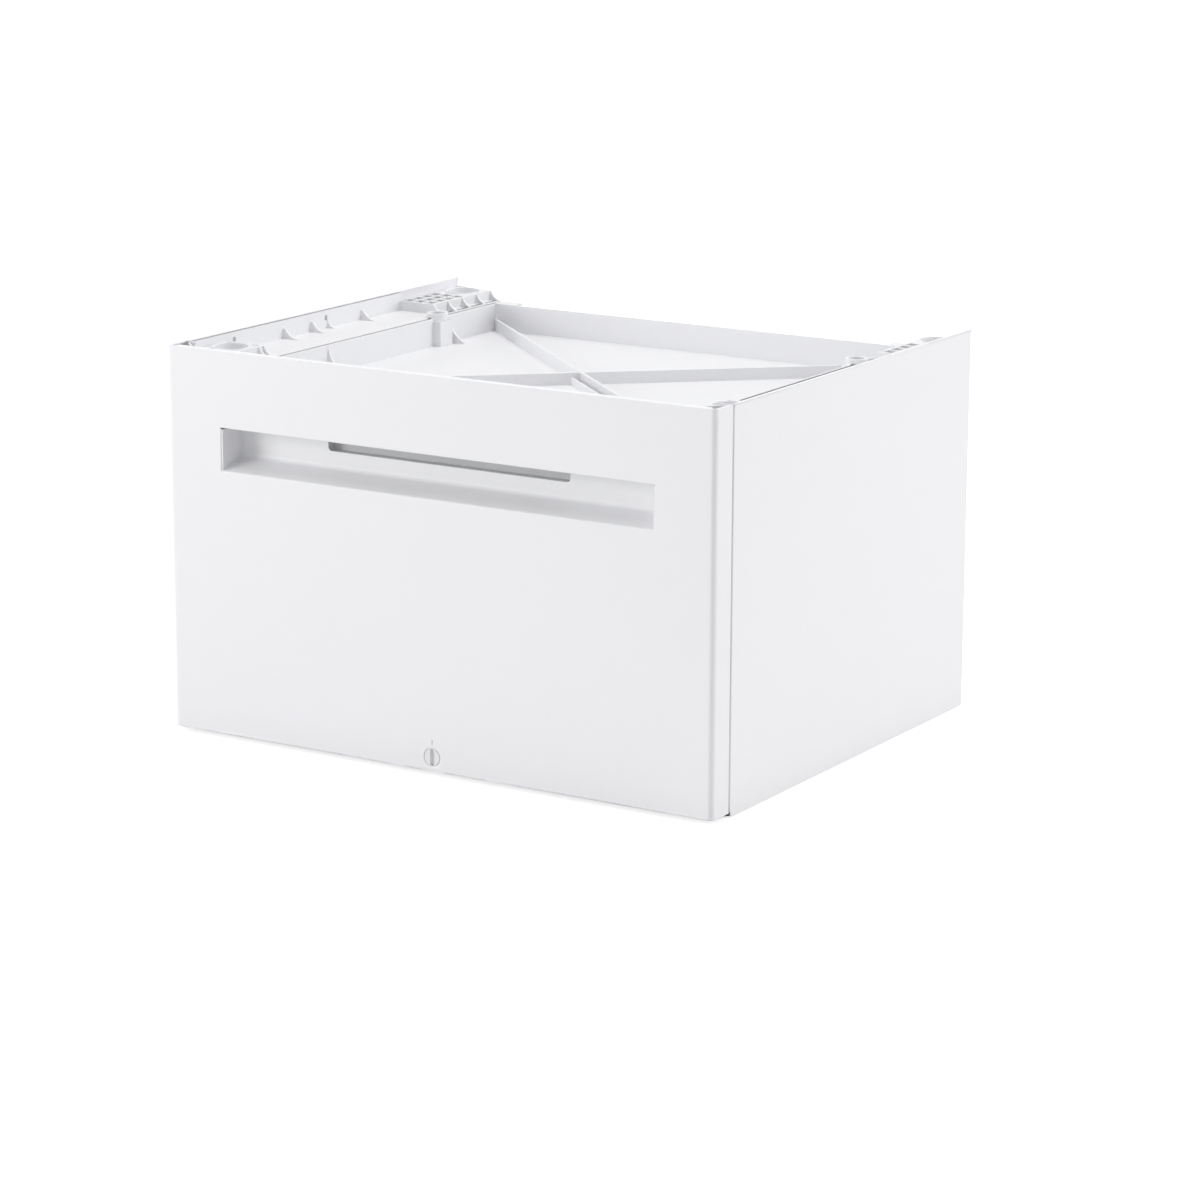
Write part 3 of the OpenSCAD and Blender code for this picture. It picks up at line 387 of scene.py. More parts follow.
def galvanised_sheet():
    """Zinc coat with a spangle: flat crystals, each with its own tone and gloss."""
    material = finish_material("galvanised_sheet", (0.62, 0.63, 0.645), 0.42, 0.1, metal=0.85, mottle=0.1,
                               grain=(700.0, 0.5, 90.0, 0.6), relief=0.06)
    tree = material.node_tree
    place = tree.nodes.new("ShaderNodeTexCoord")
    crystal = add(tree, "ShaderNodeTexVoronoi", Scale=130.0)
    tree.links.new(place.outputs["Object"], crystal.inputs["Vector"])
    grey = add(tree, "ShaderNodeRGBToBW")
    tree.links.new(crystal.outputs["Color"], grey.inputs[0])
    ramp = add(tree, "ShaderNodeMapRange", To_Min=0.86, To_Max=1.08)
    tree.links.new(grey.outputs[0], ramp.inputs["Value"])
    return shaded_by(material, ramp.outputs[0])


def slide_steel():
    return finish_material("slide_steel", (0.60, 0.61, 0.63), 0.3, 0.1, metal=1.0, mottle=0.08,
                           grain=(1200.0, 0.4, 140.0, 0.5), relief=0.04)


def zinc_fixings():
    return finish_material("zinc_fixings", (0.56, 0.57, 0.58), 0.34, 0.12, metal=1.0, mottle=0.15,
                           mottle_fine=400.0, relief=0.05)


def black_rubber():
    return finish_material("black_rubber", (0.035, 0.035, 0.038), 0.75, 0.1, mottle=0.2, relief=0.15,
                           dust=0.3, dust_top=0.1)


def foot_rubber():
    return finish_material("foot_rubber", (0.055, 0.056, 0.060), 0.65, 0.1, mottle=0.2, relief=0.15,
                           dust=0.35, dust_top=0.1)


MATERIALS = {make.__name__: make() for make in (
    white_enamel, white_plastic, grey_plastic, drawer_paint, galvanised_sheet, slide_steel,
    zinc_fixings, black_rubber, foot_rubber)}

for name, node in frame["nodes"].items():
    node.data.materials.clear()
    node.data.materials.append(MATERIALS[SLOT_OF[name]])


# ---- drawer front ----

SHEET = 0.8 * MM
HEM_BEND = 1.0 * MM
FRONT_HEM = 8 * MM
SIDE_HEM = 3 * MM
CORNER_R = 5.5 * MM
REAR_CORNER_R = 0.9 * MM
REAR_LIP = 12 * MM
RECESS_FLANGE = 6 * MM
OPENING_X = RECESS_HIGH.x - RECESS_FLANGE
OPENING_LOW = RECESS_LOW.z + RECESS_FLANGE
OPENING_TOP = RECESS_HIGH.z - RECESS_FLANGE
OPENING_LIP = 1.0 * MM
LOCK_SQUARE = 13 * MM
LOCK_HOLE_R = 9.2 * MM
LOCK_DIP = 0.35 * MM
DIP_SHARE = 0.25  # how far the dip reaches from the hole's circle to the square's border
SKIN_EDGE = 0.15 * MM
# grid lines that only divide the flat front: places across, on both sides, and places up
EXTRA_X = (0.05, 0.12, 0.18)
EXTRA_Z = (0.10, 0.18, 0.34)
CORNER_LEAD = 4 * MM  # from the last of them to the corner
HEM_CHANGE = 2 * MM  # the hem is narrow this close to the corner
SQUARE_LINES = 13


def lip_lines(edge, outward):
    """Grid lines over a rounded lip: they crowd where the lip turns in, at the opening's edge."""
    return [edge + outward * OPENING_LIP * (1 - math.sin(turn)) for turn in arc(0, 90, 4)]


def front_skin():
    """Folded sheet. Across: the drawer front's outline in plan, from one rear lip round to the other.
    Up: the lower hem, its bend, the upright face, the upper bend and hem, where a point moves inwards
    along the outline's normal. Round the handle opening the sheet turns in by a quarter circle."""
    x_out, y_front, y_rear = SKIN_HIGH.x, SKIN_LOW.y, SKIN_HIGH.y
    x_flat = x_out - CORNER_R
    square = np.linspace(-LOCK_SQUARE, LOCK_SQUARE, SQUARE_LINES)
    # x places on the flat front
    right_half = [*lip_lines(OPENING_X, 1), *EXTRA_X, x_flat - CORNER_LEAD, x_flat]
    flat = sorted({round(x, 6) for x in [*right_half, *(-x for x in right_half), *square]})
    corner = arc(90, 0, 8)[:-1]
    rear = arc(0, 90, 4)[1:]
    # the right half of the outline after the flat front, as place, normal and hem width
    side = [(x_flat + CORNER_R * math.cos(t), y_front + CORNER_R - CORNER_R * math.sin(t),
             math.cos(t), -math.sin(t), SIDE_HEM) for t in corner[1:]]
    side += [(x_out, y, 1, 0, SIDE_HEM) for y in
             (y_front + CORNER_R, (y_front + y_rear) / 2, y_rear - REAR_CORNER_R - SIDE_HEM)]
    side += [(x_out - REAR_CORNER_R * (1 - math.cos(t)), y_rear - REAR_CORNER_R * (1 - math.sin(t)),
              math.cos(t), math.sin(t), SHEET) for t in (0.0, *rear)]
    side += [(x_out - REAR_LIP, y_rear, 0, 1, SHEET)]
    front = [(x, y_front, 0, -1, FRONT_HEM if abs(x) < x_flat - HEM_CHANGE else SIDE_HEM) for x in flat]
    left = [(-x, y, -nx, ny, hem) for x, y, nx, ny, hem in reversed(side)]
    outline = np.array(left + front + side)
    # up the sheet: depth of the hem as a share, depth within the bend, and height
    bends = np.array([(1.0, 0.0, 0.0)] + [(0.0, math.sin(t), 1 - math.cos(t)) for t in arc(90, 0, 4)])
    lines = sorted({round(z, 6) for z in [
        *(Z_LOCK + square), *lip_lines(OPENING_LOW, -1), *lip_lines(OPENING_TOP, 1), *EXTRA_Z]})
    hem_share = np.concatenate([bends[:, 0], np.zeros(len(lines)), bends[::-1, 0]])
    bend_share = np.concatenate([bends[:, 1], np.zeros(len(lines)), bends[::-1, 1]])
    z = np.concatenate([Z_LOW + HEM_BEND * bends[:, 2], lines, Z_TOP - HEM_BEND * bends[::-1, 2]])
    hem = np.maximum(outline[:, 4] - HEM_BEND, 0)
    bend = np.minimum(outline[:, 4], HEM_BEND)
    inward = np.outer(hem_share, hem) + np.outer(np.maximum(hem_share, bend_share), bend)
    x = outline[:, 0] - outline[:, 2] * inward
    y = outline[:, 1] - outline[:, 3] * inward
    height = np.repeat(z[:, None], len(outline), 1)
    # the lip round the opening, by distance from the opening's edge
    centre = (OPENING_LOW + OPENING_TOP) / 2
    off = np.maximum(np.abs(x) - OPENING_X, np.abs(height - centre) - (OPENING_TOP - OPENING_LOW) / 2)
    on_lip = (off < OPENING_LIP) & (off > -SLACK) & (y < y_front + MM)
    rest = np.clip(OPENING_LIP - off, 0, OPENING_LIP)
    y = np.where(on_lip, y + OPENING_LIP - np.sqrt(OPENING_LIP ** 2 - rest ** 2), y)
    points = np.stack([x, y, height], -1)
    faces = grid_faces(*x.shape)
    middle = points.reshape(-1, 3)[faces].mean(1)
    in_front = middle[:, 1] < y_front + 2 * MM
    in_opening = (np.abs(middle[:, 0]) < OPENING_X) & (np.abs(middle[:, 2] - centre)
                                                       < (OPENING_TOP - OPENING_LOW) / 2)
    in_square = np.maximum(np.abs(middle[:, 0]), np.abs(middle[:, 2] - Z_LOCK)) < LOCK_SQUARE
    keep = ~(in_front & (in_opening | in_square))
    piece = surface("front_skin", [(points, faces[keep]), lock_hole_patch(y_front, square)])
    with_thickness(piece, SHEET)
    rounded_edges(piece, SKIN_EDGE, 50)
    return dress(piece, "drawer_front_skin", MATERIALS["white_enamel"])


def lock_hole_patch(y_front, square):
    """Sheet round the lock: points on lines from the hole's circle to the square's border, where they
    meet the front's grid; near the circle the sheet dips in a little."""
    half = square[-1]
    right = [(half, v) for v in square[:-1]]
    top = [(-v, half) for v in square[:-1]]
    left = [(-half, -v) for v in square[:-1]]
    low = [(v, -half) for v in square[:-1]]
    border = np.array(right + top + left + low + right[:1])
    reach = np.linalg.norm(border, axis=1, keepdims=True)
    circle = border / reach * LOCK_HOLE_R
    share = np.array([0, 0.05, 0.12, DIP_SHARE, 0.6, 1.0])[:, None, None]
    flat = circle + (border - circle) * share
    dip = LOCK_DIP * np.clip(1 - share[..., 0] / DIP_SHARE, 0, 1) ** 2
    points = np.stack([flat[..., 0], y_front + np.repeat(dip, len(border), 1), flat[..., 1] + Z_LOCK], -1)
    return points, grid_faces(*points.shape[:2])[:, ::-1]


# ---- handle recess ----

RECESS_SLOPE = math.radians(20)
COVE_R = 6 * MM
ROOF_R = 1.5 * MM
ROOF_STEPS = 4
RECESS_DRAFT = 3.0 * MM
RECESS_WALL = 1.6 * MM
RECESS_BACK = 2 * MM  # from the back's inner face to the rear of the CAD node
DRAFT_FROM = 0.6  # share of the half width past which the lines follow the draft
END_WALL_ROWS = 6
SLOT_X = 133 * MM
SLOT_LOW = 288 * MM
SLOT_CORNER_R = 4 * MM
SLOT_REACH = 1.2 * MM  # the slot runs this far forward, into the roof's fillet


def handle_moulding():
    """The recess's inner face. Up its side view: sloped floor, cove, upright back, small roof fillet
    and roof. Across: straight, but drawn in towards the back by the draft. Each end wall is ruled from
    the side view's curve to the front plane. The finger slot is left out, with two round corners."""
    y_front = SKIN_LOW.y + SHEET
    y_back = RECESS_HIGH.y - RECESS_BACK
    y_cove = y_back - COVE_R
    z_cove = OPENING_LOW + (y_cove + COVE_R * math.sin(RECESS_SLOPE) - SKIN_LOW.y) * math.tan(RECESS_SLOPE)
    z_cove += COVE_R * math.cos(RECESS_SLOPE)
    z_start = OPENING_LOW + (y_front - SKIN_LOW.y) * math.tan(RECESS_SLOPE)
    profile = [(y_front, z_start)]
    profile += [(y_cove + COVE_R * math.cos(t), z_cove + COVE_R * math.sin(t))
                for t in arc(math.degrees(RECESS_SLOPE) - 90, 0, 10)]
    profile += [(y_back, SLOT_LOW), (y_back, SLOT_LOW + SLOT_CORNER_R)]
    profile += [(y_back - ROOF_R * (1 - math.cos(t)), OPENING_TOP - ROOF_R * (1 - math.sin(t)))
                for t in arc(0, 90, ROOF_STEPS)]
    profile += [(y_front, OPENING_TOP)]
    profile = np.array(profile)
    # shares of the half width: the slot's corner and end, and lines that only divide the wall
    right = np.array([0.3, (SLOT_X - SLOT_CORNER_R) / OPENING_X, SLOT_X / OPENING_X, 0.65, 0.8, 1])
    across = np.concatenate([-right[::-1], [0], right])
    depth = (profile[:, 0] - y_front) / (y_back - y_front)
    stretch = np.where(np.abs(across) > DRAFT_FROM, 1.0, 0.0)
    x = across[None, :] * OPENING_X - np.sign(across)[None, :] * stretch * RECESS_DRAFT * depth[:, None]
    y = np.repeat(profile[:, :1], len(across), 1)
    z = np.repeat(profile[:, 1:], len(across), 1)
    points = np.stack([x, y, z], -1)
    faces = grid_faces(*x.shape)
    middle = points.reshape(-1, 3)[faces].mean(1)
    slot = (np.abs(middle[:, 0]) < SLOT_X) & (middle[:, 2] > SLOT_LOW) & (middle[:, 1] > y_back - SLOT_REACH)
    patches = [(points, faces[~slot])]
    turn = arc(0, 90, 6)
    wall = profile[:-ROOF_STEPS - 1]  # up to where the roof's fillet starts
    share = np.linspace(0, 1, END_WALL_ROWS)[:, None]
    for sign in SIDES.values():
        edge = np.stack([sign * (SLOT_X - SLOT_CORNER_R + SLOT_CORNER_R * np.sin(turn)),
                         np.full(len(turn), y_back), SLOT_LOW + SLOT_CORNER_R * (1 - np.cos(turn))], -1)
        tip = np.repeat([[sign * SLOT_X, y_back, SLOT_LOW]], len(turn), 0)
        fan = np.stack([edge, tip] if sign < 0 else [tip, edge])
        patches.append((fan, grid_faces(2, len(turn))))
        wall_y = y_front + (wall[None, :, 0] - y_front) * share
        wall_x = sign * (OPENING_X - RECESS_DRAFT * (wall_y - y_front) / (y_back - y_front))
        wall_z = np.repeat(wall[None, :, 1], END_WALL_ROWS, 0)
        ruled = np.stack([wall_x, wall_y, wall_z], -1)
        patches.append((ruled if sign < 0 else ruled[::-1], grid_faces(END_WALL_ROWS, len(wall))))
    piece = surface("handle_moulding", patches)
    with_thickness(piece, RECESS_WALL)
    smooth(piece, 35)
    return dress(piece, "handle_recess", MATERIALS["white_plastic"])


# ---- side panels ----

PANEL_SHEET = 1.0 * MM
PANEL_BEND = 1.1 * MM
PANEL_FOLD = 14 * MM
PANEL_HEM = 2.5 * MM
PANEL_HEM_BEND = 0.9 * MM
FOLD_TOP = 9 * MM
PANEL_EDGE = 0.2 * MM
PANEL_LINES = np.linspace(0.02, 0.34, 5)  # heights of the grid lines that only divide the wide face
HEM_TURN = ((0.5 * MM, 0.2 * MM), (0.7 * MM, 0.7 * MM))  # the hem's free edge: inwards and down


def side_panel(name, sign):
    """Folded sheet. Across: the front fold, its bend, the wide face, the rear bend and fold, in plan.
    Up the wide face: skirt, face, bend and top hem; the folds and bends stand straight, start above
    the skirt and stop lower than the face. A level flange joins the folds at their foot."""
    x_out = PANEL_HIGH.x
    y_front, y_rear = PANEL_LOW.y, PANEL_HIGH.y
    bend = [(x_out - PANEL_BEND * (1 - math.sin(t)), y_front + PANEL_BEND * (1 - math.cos(t)))
            for t in arc(0, 90, 6)]
    front = [(x_out - PANEL_FOLD, y_front)] + bend
    rear = [(px, y_front + y_rear - py) for px, py in reversed(front)]
    wide = [(x_out, y) for y in np.linspace(y_front + PANEL_BEND, y_rear - PANEL_BEND, 6)[1:-1]]
    plan = np.array(front + wide + rear)
    is_face = (plan[:, 0] > x_out - SLACK).astype(float)
    height = Z_TOP - Z_LOW
    low = [(0.0, PANEL_LOW.z - Z_LOW), (0.0, 0.0)]
    high = [(0.0, height - FOLD_TOP)]
    high += [(PANEL_HEM_BEND * math.sin(t), height - PANEL_HEM_BEND * (1 - math.cos(t)))
             for t in arc(0, 90, 4)]
    high += [(PANEL_HEM, height)]
    high += [(PANEL_HEM + inwards, height - down) for inwards, down in HEM_TURN]
    climb = np.array(low + [(0.0, h) for h in PANEL_LINES] + high)
    x = plan[None, :, 0] - is_face[None, :] * climb[:, :1]
    y = np.repeat(plan[None, :, 1], len(climb), 0)
    z = Z_LOW + np.repeat(climb[:, 1:], len(plan), 1)
    points = np.stack([sign * x, y, z], -1)
    faces = grid_faces(*x.shape)
    row = np.arange(len(faces)) // (len(plan) - 1)
    column = np.arange(len(faces)) % (len(plan) - 1)
    straight = (climb[row, 0] <= PANEL_HEM_BEND) & (climb[row + 1, 0] <= PANEL_HEM_BEND)
    under_stop = climb[row + 1, 1] <= height - FOLD_TOP + SLACK
    in_bend = np.minimum(plan[column, 0], plan[column + 1, 0]) > x_out - PANEL_HEM
    on_face = np.minimum(is_face[column], is_face[column + 1]) > 0
    over_skirt = climb[row, 1] > -SLACK
    keep = on_face | (straight & over_skirt & (under_stop | in_bend))
    faces = faces[keep] if sign > 0 else faces[keep][:, ::-1]
    edges = np.array([x_out - PANEL_FOLD, x_out - PANEL_SHEET]) * sign
    depths = np.array([y_front, y_rear])
    flange = np.stack([*np.meshgrid(np.sort(edges), depths), np.full((2, 2), Z_LOW)], -1)
    piece = surface(name, [(points, faces), (flange, grid_faces(2, 2)[:, ::-1])])
    with_thickness(piece, PANEL_SHEET)
    rounded_edges(piece, PANEL_EDGE, 50)
    return dress(piece, name, MATERIALS["white_enamel"])


# ---- top ----

GROOVE = 3.0 * MM
RIM_DROP = 20 * MM
# sizes of the dark strip that paints the shade deep in the groove
SHADE_STRIP_SINK = 0.25 * MM
SHADE_STRIP_HEIGHT = 3.0 * MM
SHADE_STRIP_END = 12 * MM
SHADE_STRIP_PLAY = 0.05 * MM
SHADE_STRIP_ROWS = 120
SHADE_STRIP_WAVE, SHADE_STRIP_WAVE_TURN = 0.12 * MM, 0.31  # height of the wave, and its radians from row to row


def groove_shade_strip(side, sign):
    """Painted shade: a dark strip in the groove between the tray and a side rail that stands for the groove's
    deep shadow,
    shaped as a foam seal: half an ellipse in section, with a flat foot, carried along the groove while its
    crown waves a little."""
    tray_low, tray_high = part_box("top_tray")
    rail_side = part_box("right_top_rail")[0].x
    start, end = tray_low.y + SHADE_STRIP_END, tray_high.y - SHADE_STRIP_END
    turn = arc(0, 180, 8)
    middle, half = rail_side - GROOVE / 2, GROOVE / 2 - SHADE_STRIP_PLAY
    depths = np.linspace(start, end, SHADE_STRIP_ROWS)
    crown = SHADE_STRIP_HEIGHT - SHADE_STRIP_WAVE * (0.5 + 0.5 * np.sin(SHADE_STRIP_WAVE_TURN * np.arange(SHADE_STRIP_ROWS)))
    x = middle + half * np.repeat(np.cos(turn)[:, None], SHADE_STRIP_ROWS, 1)
    z = Z_TOP - RIM_DROP - SHADE_STRIP_SINK - SHADE_STRIP_HEIGHT + np.outer(np.sin(turn), crown)
    y = np.repeat(depths[None, :], len(turn), 0)
    points = np.stack([sign * x, y, z], -1)
    faces = grid_faces(*x.shape)
    piece = surface(f"{side}_groove_shade_strip", [(points, faces if sign < 0 else faces[:, ::-1])])
    smooth(piece, 40)
    # black rubber here is painted shade: the strip's dark colour stands for the shadow in the groove
    piece.data.materials.append(MATERIALS["black_rubber"])
    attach(piece, "cabinet")
    return piece


# ---- pressed sheets ----

BACK_SHEET, BACK_FLAT = 0.9 * MM, 1.0 * MM  # wall, and place of its outer face over the CAD node's low side
BACK_BEAD = (0.25, 8 * MM, 1.2 * MM)  # half length, half width and rise
BACK_COLUMNS, BACK_ROWS = 141, 181
FLOOR_SHEET, FLOOR_FLAT = 1.1 * MM, 1.2 * MM  # the same for the drawer's bottom
FLOOR_BEAD = (7 * MM, 1.2 * MM)  # half width and rise
FLOOR_BEAD_END = 26 * MM  # from a bead's end to the sheet's edge
FLOOR_COLUMNS, FLOOR_ROWS = 241, 121


def bead_height(along, across, half_length, half_width, rise):
    """Rise of a pressed bead with round ends: full on its middle line, falling as a cosine to its rim."""
    off = np.hypot(np.maximum(np.abs(along) - half_length + half_width, 0), across)
    return rise * 0.5 * (1 + np.cos(np.pi * np.clip(off / half_width, 0, 1)))


def back_sheet():
    """Back panel: a flat sheet seen from behind, with three level beads pressed outwards."""
    low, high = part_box("back_panel")
    flat = low.y + BACK_FLAT
    x = np.linspace(low.x, high.x, BACK_COLUMNS)
    z = np.linspace(low.z, high.z, BACK_ROWS)
    gx, gz = np.meshgrid(x, z)
    step = (high.z - low.z) / 4
    rise = sum(bead_height(gx, gz - low.z - k * step, *BACK_BEAD) for k in (1, 2, 3))
    points = np.stack([gx, flat + rise, gz], -1)
    faces = grid_faces(*gx.shape)[:, ::-1]
    piece = surface("back_sheet", [(points, faces)])
    with_thickness(piece, BACK_SHEET)
    smooth(piece, 40)
    return dress(piece, "back_panel", MATERIALS["galvanised_sheet"])


def drawer_floor():
    """Drawer bottom: a flat sheet seen from above, with five beads pressed up along it."""
    low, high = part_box("drawer_bottom")
    flat = low.z + FLOOR_FLAT
    x = np.linspace(low.x, high.x, FLOOR_COLUMNS)
    y = np.linspace(low.y, high.y, FLOOR_ROWS)
    gx, gy = np.meshgrid(x, y)
    step = (high.x - low.x) / 5
    middle = (low.y + high.y) / 2
    half = (high.y - low.y) / 2 - FLOOR_BEAD_END
    rise = sum(bead_height(gy - middle, gx - k * step, half, *FLOOR_BEAD) for k in (-2, -1, 0, 1, 2))
    points = np.stack([gx, gy, flat + rise], -1)
    piece = surface("drawer_floor", [(points, grid_faces(*gx.shape))])
    with_thickness(piece, FLOOR_SHEET)
    smooth(piece, 40)
    return dress(piece, "drawer_bottom", MATERIALS["drawer_paint"])


# ---- screws and feet ----

SCREW_HEAD, SHANK_R = 2 * MM, 2 * MM
DOME_SPAN, CROSS_HALF, CROSS_REACH = 0.88, 0.13, 0.62  # shares of the head's radius
CROSS_DEPTH = 0.75  # share of the head's height
PAD_RIBS, PAD_RIB_DEPTH = 48, 0.35 * MM


def turned(profile, steps):
    """Surface of revolution about Z: each (radius, height) of the profile goes round in even steps."""
    profile = np.asarray(profile, float)
    angle = np.linspace(0, 2 * np.pi, steps + 1)
    radius = profile[:, :1]
    return np.stack([radius * np.cos(angle), radius * np.sin(angle),
                     np.repeat(profile[:, 1:], steps + 1, 1)], -1)


def screw_head(radius, height):
    """Pan head: an ellipse's dome over polar rings, sunk where a cross of two bars lies, less towards
    the bars' ends."""
    rings = np.concatenate([[0], np.linspace(0.12, 1, 12)]) * radius
    angle = np.linspace(0, 2 * np.pi, 49)
    r, a = np.meshgrid(rings, angle, indexing="ij")
    dome = height * np.sqrt(np.clip(1 - (DOME_SPAN * r / radius) ** 2, 0, 1))
    bar = np.minimum(np.abs(r * np.sin(a)), np.abs(r * np.cos(a)))
    half_bar = CROSS_HALF * radius
    reach = np.clip(1 - r / (CROSS_REACH * radius), 0, 1)
    side = np.clip((half_bar - bar) / (0.4 * half_bar) + 1, 0, 1)
    sunk = CROSS_DEPTH * height * side * np.minimum(1, 3 * reach)
    top = np.stack([r * np.cos(a), r * np.sin(a), dome - sunk], -1)
    rim = np.stack([top[-1], top[-1] * [1, 1, 0]])
    return [(top, grid_faces(*r.shape)[:, ::-1]), (rim, grid_faces(*rim.shape[:2])[:, ::-1])]


def placed(patches, where, turn):
    """The patches turned by a matrix and moved to a place."""
    turn = np.array(turn)
    return [(points @ turn.T + np.array(where), faces) for points, faces in patches]


def facing(direction):
    """Matrix that turns +Z to a direction along an axis of the frame."""
    return Vector((0, 0, 1)).rotation_difference(Vector(direction)).to_matrix()


def islands(node):
    """Lowest and highest corner of each separate solid of a CAD node."""
    shell = bmesh.new()
    shell.from_mesh(frame["nodes"][node].data)
    bmesh.ops.remove_doubles(shell, verts=shell.verts, dist=MERGE_CAD)
    left, found = set(shell.verts), []
    while left:
        stack, group = [left.pop()], []
        while stack:
            vert = stack.pop()
            group.append(vert.co[:])
            for edge in vert.link_edges:
                other = edge.other_vert(vert)
                if other in left:
                    left.remove(other)
                    stack.append(other)
        found.append((np.min(group, 0), np.max(group, 0)))
    shell.free()
    return sorted(found, key=lambda box: tuple(np.round(box[0], 5)))


def screws(node, direction, outward=True):
    """Every screw of a node: a crossed pan head at the solid's end, and its shank."""
    axis = int(np.argmax(np.abs(direction)))
    patches = []
    for low, high in islands(node):
        middle = (low + high) / 2
        way = np.array(direction, float)
        if axis == 0 and not outward:
            way = way * -np.sign(middle[0])
        across = [k for k in range(3) if k != axis]
        radius = (high[across[0]] - low[across[0]]) / 2
        tip = high[axis] if way[axis] > 0 else low[axis]
        base = middle.copy()
        base[axis] = tip - way[axis] * SCREW_HEAD
        length = high[axis] - low[axis] - SCREW_HEAD
        shank = turned([(radius, 0), (SHANK_R, 0), (SHANK_R, -length + MM), (0, -length)], 24)
        turn = facing(way)
        patches += placed(screw_head(radius, SCREW_HEAD), base, turn)
        patches += placed([(shank, grid_faces(*shank.shape[:2])[:, ::-1])], base, turn)
    piece = surface(node + "_crossed", patches)
    smooth(piece, 35)
    return dress(piece, node, MATERIALS["zinc_fixings"])


def foot_pad(node):
    """Foot pad turned about its own axis: chamfered base with two shallow grooves, a ribbed rim whose
    radius waves round it, and a dished top."""
    low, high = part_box(node)
    radius, height = (high.x - low.x) / 2, high.z - low.z
    # in millimetres, for a pad of radius 24 and height 5, then brought to the node's size
    profile = np.array([(0, 0), (9, 0), (9.4, 0.6), (11.6, 0.6), (12, 0), (17, 0), (17.4, 0.6), (19.6, 0.6),
                        (20, 0), (23, 0), (24, 1), (24, 1.8), (24, 3.2), (24, 4), (23, 5), (20, 5), (18, 4.3),
                        (8, 4.3), (7.4, 5), (5, 5)]) * MM * [radius / (24 * MM), height / (5 * MM)]
    steps = 4 * PAD_RIBS
    points = turned(profile, steps)
    angle = np.linspace(0, 2 * np.pi, steps + 1)
    wave = PAD_RIB_DEPTH * (0.5 - 0.5 * np.cos(PAD_RIBS * angle))
    rim = (np.abs(profile[:, 0] - radius) < SLACK)[:, None] * wave[None, :]
    points[..., 0] -= rim * np.cos(angle)
    points[..., 1] -= rim * np.sin(angle)
    points += [(low.x + high.x) / 2, (low.y + high.y) / 2, low.z]
    piece = surface(node + "_turned", [(points, grid_faces(*points.shape[:2]))])
    smooth(piece, 40)
    return dress(piece, node, MATERIALS["foot_rubber"])


def foot_stud(node):
    """Threaded stud: the radius falls and rises once per pitch as the surface winds up, so the thread
    is a helix; plain for the first two millimetres."""
    low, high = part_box(node)
    radius = (high.x - low.x) / 2
    pitch, depth, steps = 1.5 * MM, 0.7 * MM, 32
    z = np.arange(0, high.z - low.z, pitch / 6)
    angle = np.linspace(0, 2 * np.pi, steps + 1)
    gz, ga = np.meshgrid(z, angle, indexing="ij")
    phase = (gz / pitch - ga / (2 * np.pi)) % 1
    cut = depth * (1 - np.abs(2 * phase - 1)) * np.clip((gz - 2 * MM) / MM, 0, 1)
    r = radius - cut
    body = np.stack([r * np.cos(ga), r * np.sin(ga), gz], -1)
    end = turned([(radius - depth, z[-1]), (0, high.z - low.z)], steps)
    start = turned([(0, 0), (radius, 0)], steps)
    base = np.array([(low.x + high.x) / 2, (low.y + high.y) / 2, low.z])
    patches = [(points + base, grid_faces(*points.shape[:2])) for points in (start, body, end)]
    piece = surface(node + "_threaded", patches)
    smooth(piece, 50)
    return dress(piece, node, MATERIALS["zinc_fixings"])


# ---- build ----

front_skin()
handle_moulding()
for side, sign in SIDES.items():
    side_panel(f"{side}_side_panel", sign)
    groove_shade_strip(side, sign)
back_sheet()
drawer_floor()
screws("back_panel_screws", (0, 1, 0))
screws("drawer_front_screws", (0, 1, 0))
screws("slide_inner_screws", (1, 0, 0), outward=False)
for place in ("front_left", "front_right", "rear_left", "rear_right"):
    foot_pad(f"{place}_foot_pad")
    foot_stud(f"{place}_foot_stud")

EDGE_WIDTHS = {
    "white_plastic": 0.45 * MM, "galvanised_sheet": 0.35 * MM, "drawer_paint": 0.3 * MM,
    "slide_steel": 0.2 * MM, "zinc_fixings": 0.2 * MM, "grey_plastic": 0.4 * MM, "black_rubber": 1.0 * MM}
LEFT_AS_THEY_ARE = ("slide_outer_screws", "left_outer_ball_cage", "left_inner_ball_cage",
                    "right_outer_ball_cage", "right_inner_ball_cage")
for name, node in frame["nodes"].items():
    if not node.hide_render and name not in LEFT_AS_THEY_ARE:
        width = 0.25 * MM if name.startswith("lock_") else EDGE_WIDTHS[SLOT_OF[name]]
        softened(name, MATERIALS[SLOT_OF[name]], width)


# ---- stage, light and camera ----

FLOOR_LIFT = 0.72
FLOOR_HALF = 40.0


def white_backdrop():
    """Floor finish: pale to the light, and lifted to plain white for the camera, except in shadow."""
    material = bpy.data.materials.new("stage_floor")
    material.use_nodes = True
    tree = material.node_tree
    shader = tree.nodes["Principled BSDF"]
    shader.inputs["Base Color"].default_value = (0.8, 0.8, 0.8, 1)
    shader.inputs["Roughness"].default_value = 0.9
    shader.inputs["Specular IOR Level"].default_value = 0.1
    shader.inputs["Emission Color"].default_value = (1, 1, 1, 1)
    path = tree.nodes.new("ShaderNodeLightPath")
    lift = maths(tree, "MULTIPLY", path.outputs["Is Camera Ray"], FLOOR_LIFT)
    tree.links.new(lift, shader.inputs["Emission Strength"])
    return material


def stage_floor():
    corners = [(x * FLOOR_HALF, y * FLOOR_HALF, 0) for x, y in ((-1, -1), (1, -1), (1, 1), (-1, 1))]
    mesh = bpy.data.meshes.new("stage_floor")
    mesh.from_pydata(corners, [], [(0, 1, 2, 3)])
    floor = new_object("stage_floor", mesh)
    floor.data.materials.append(white_backdrop())


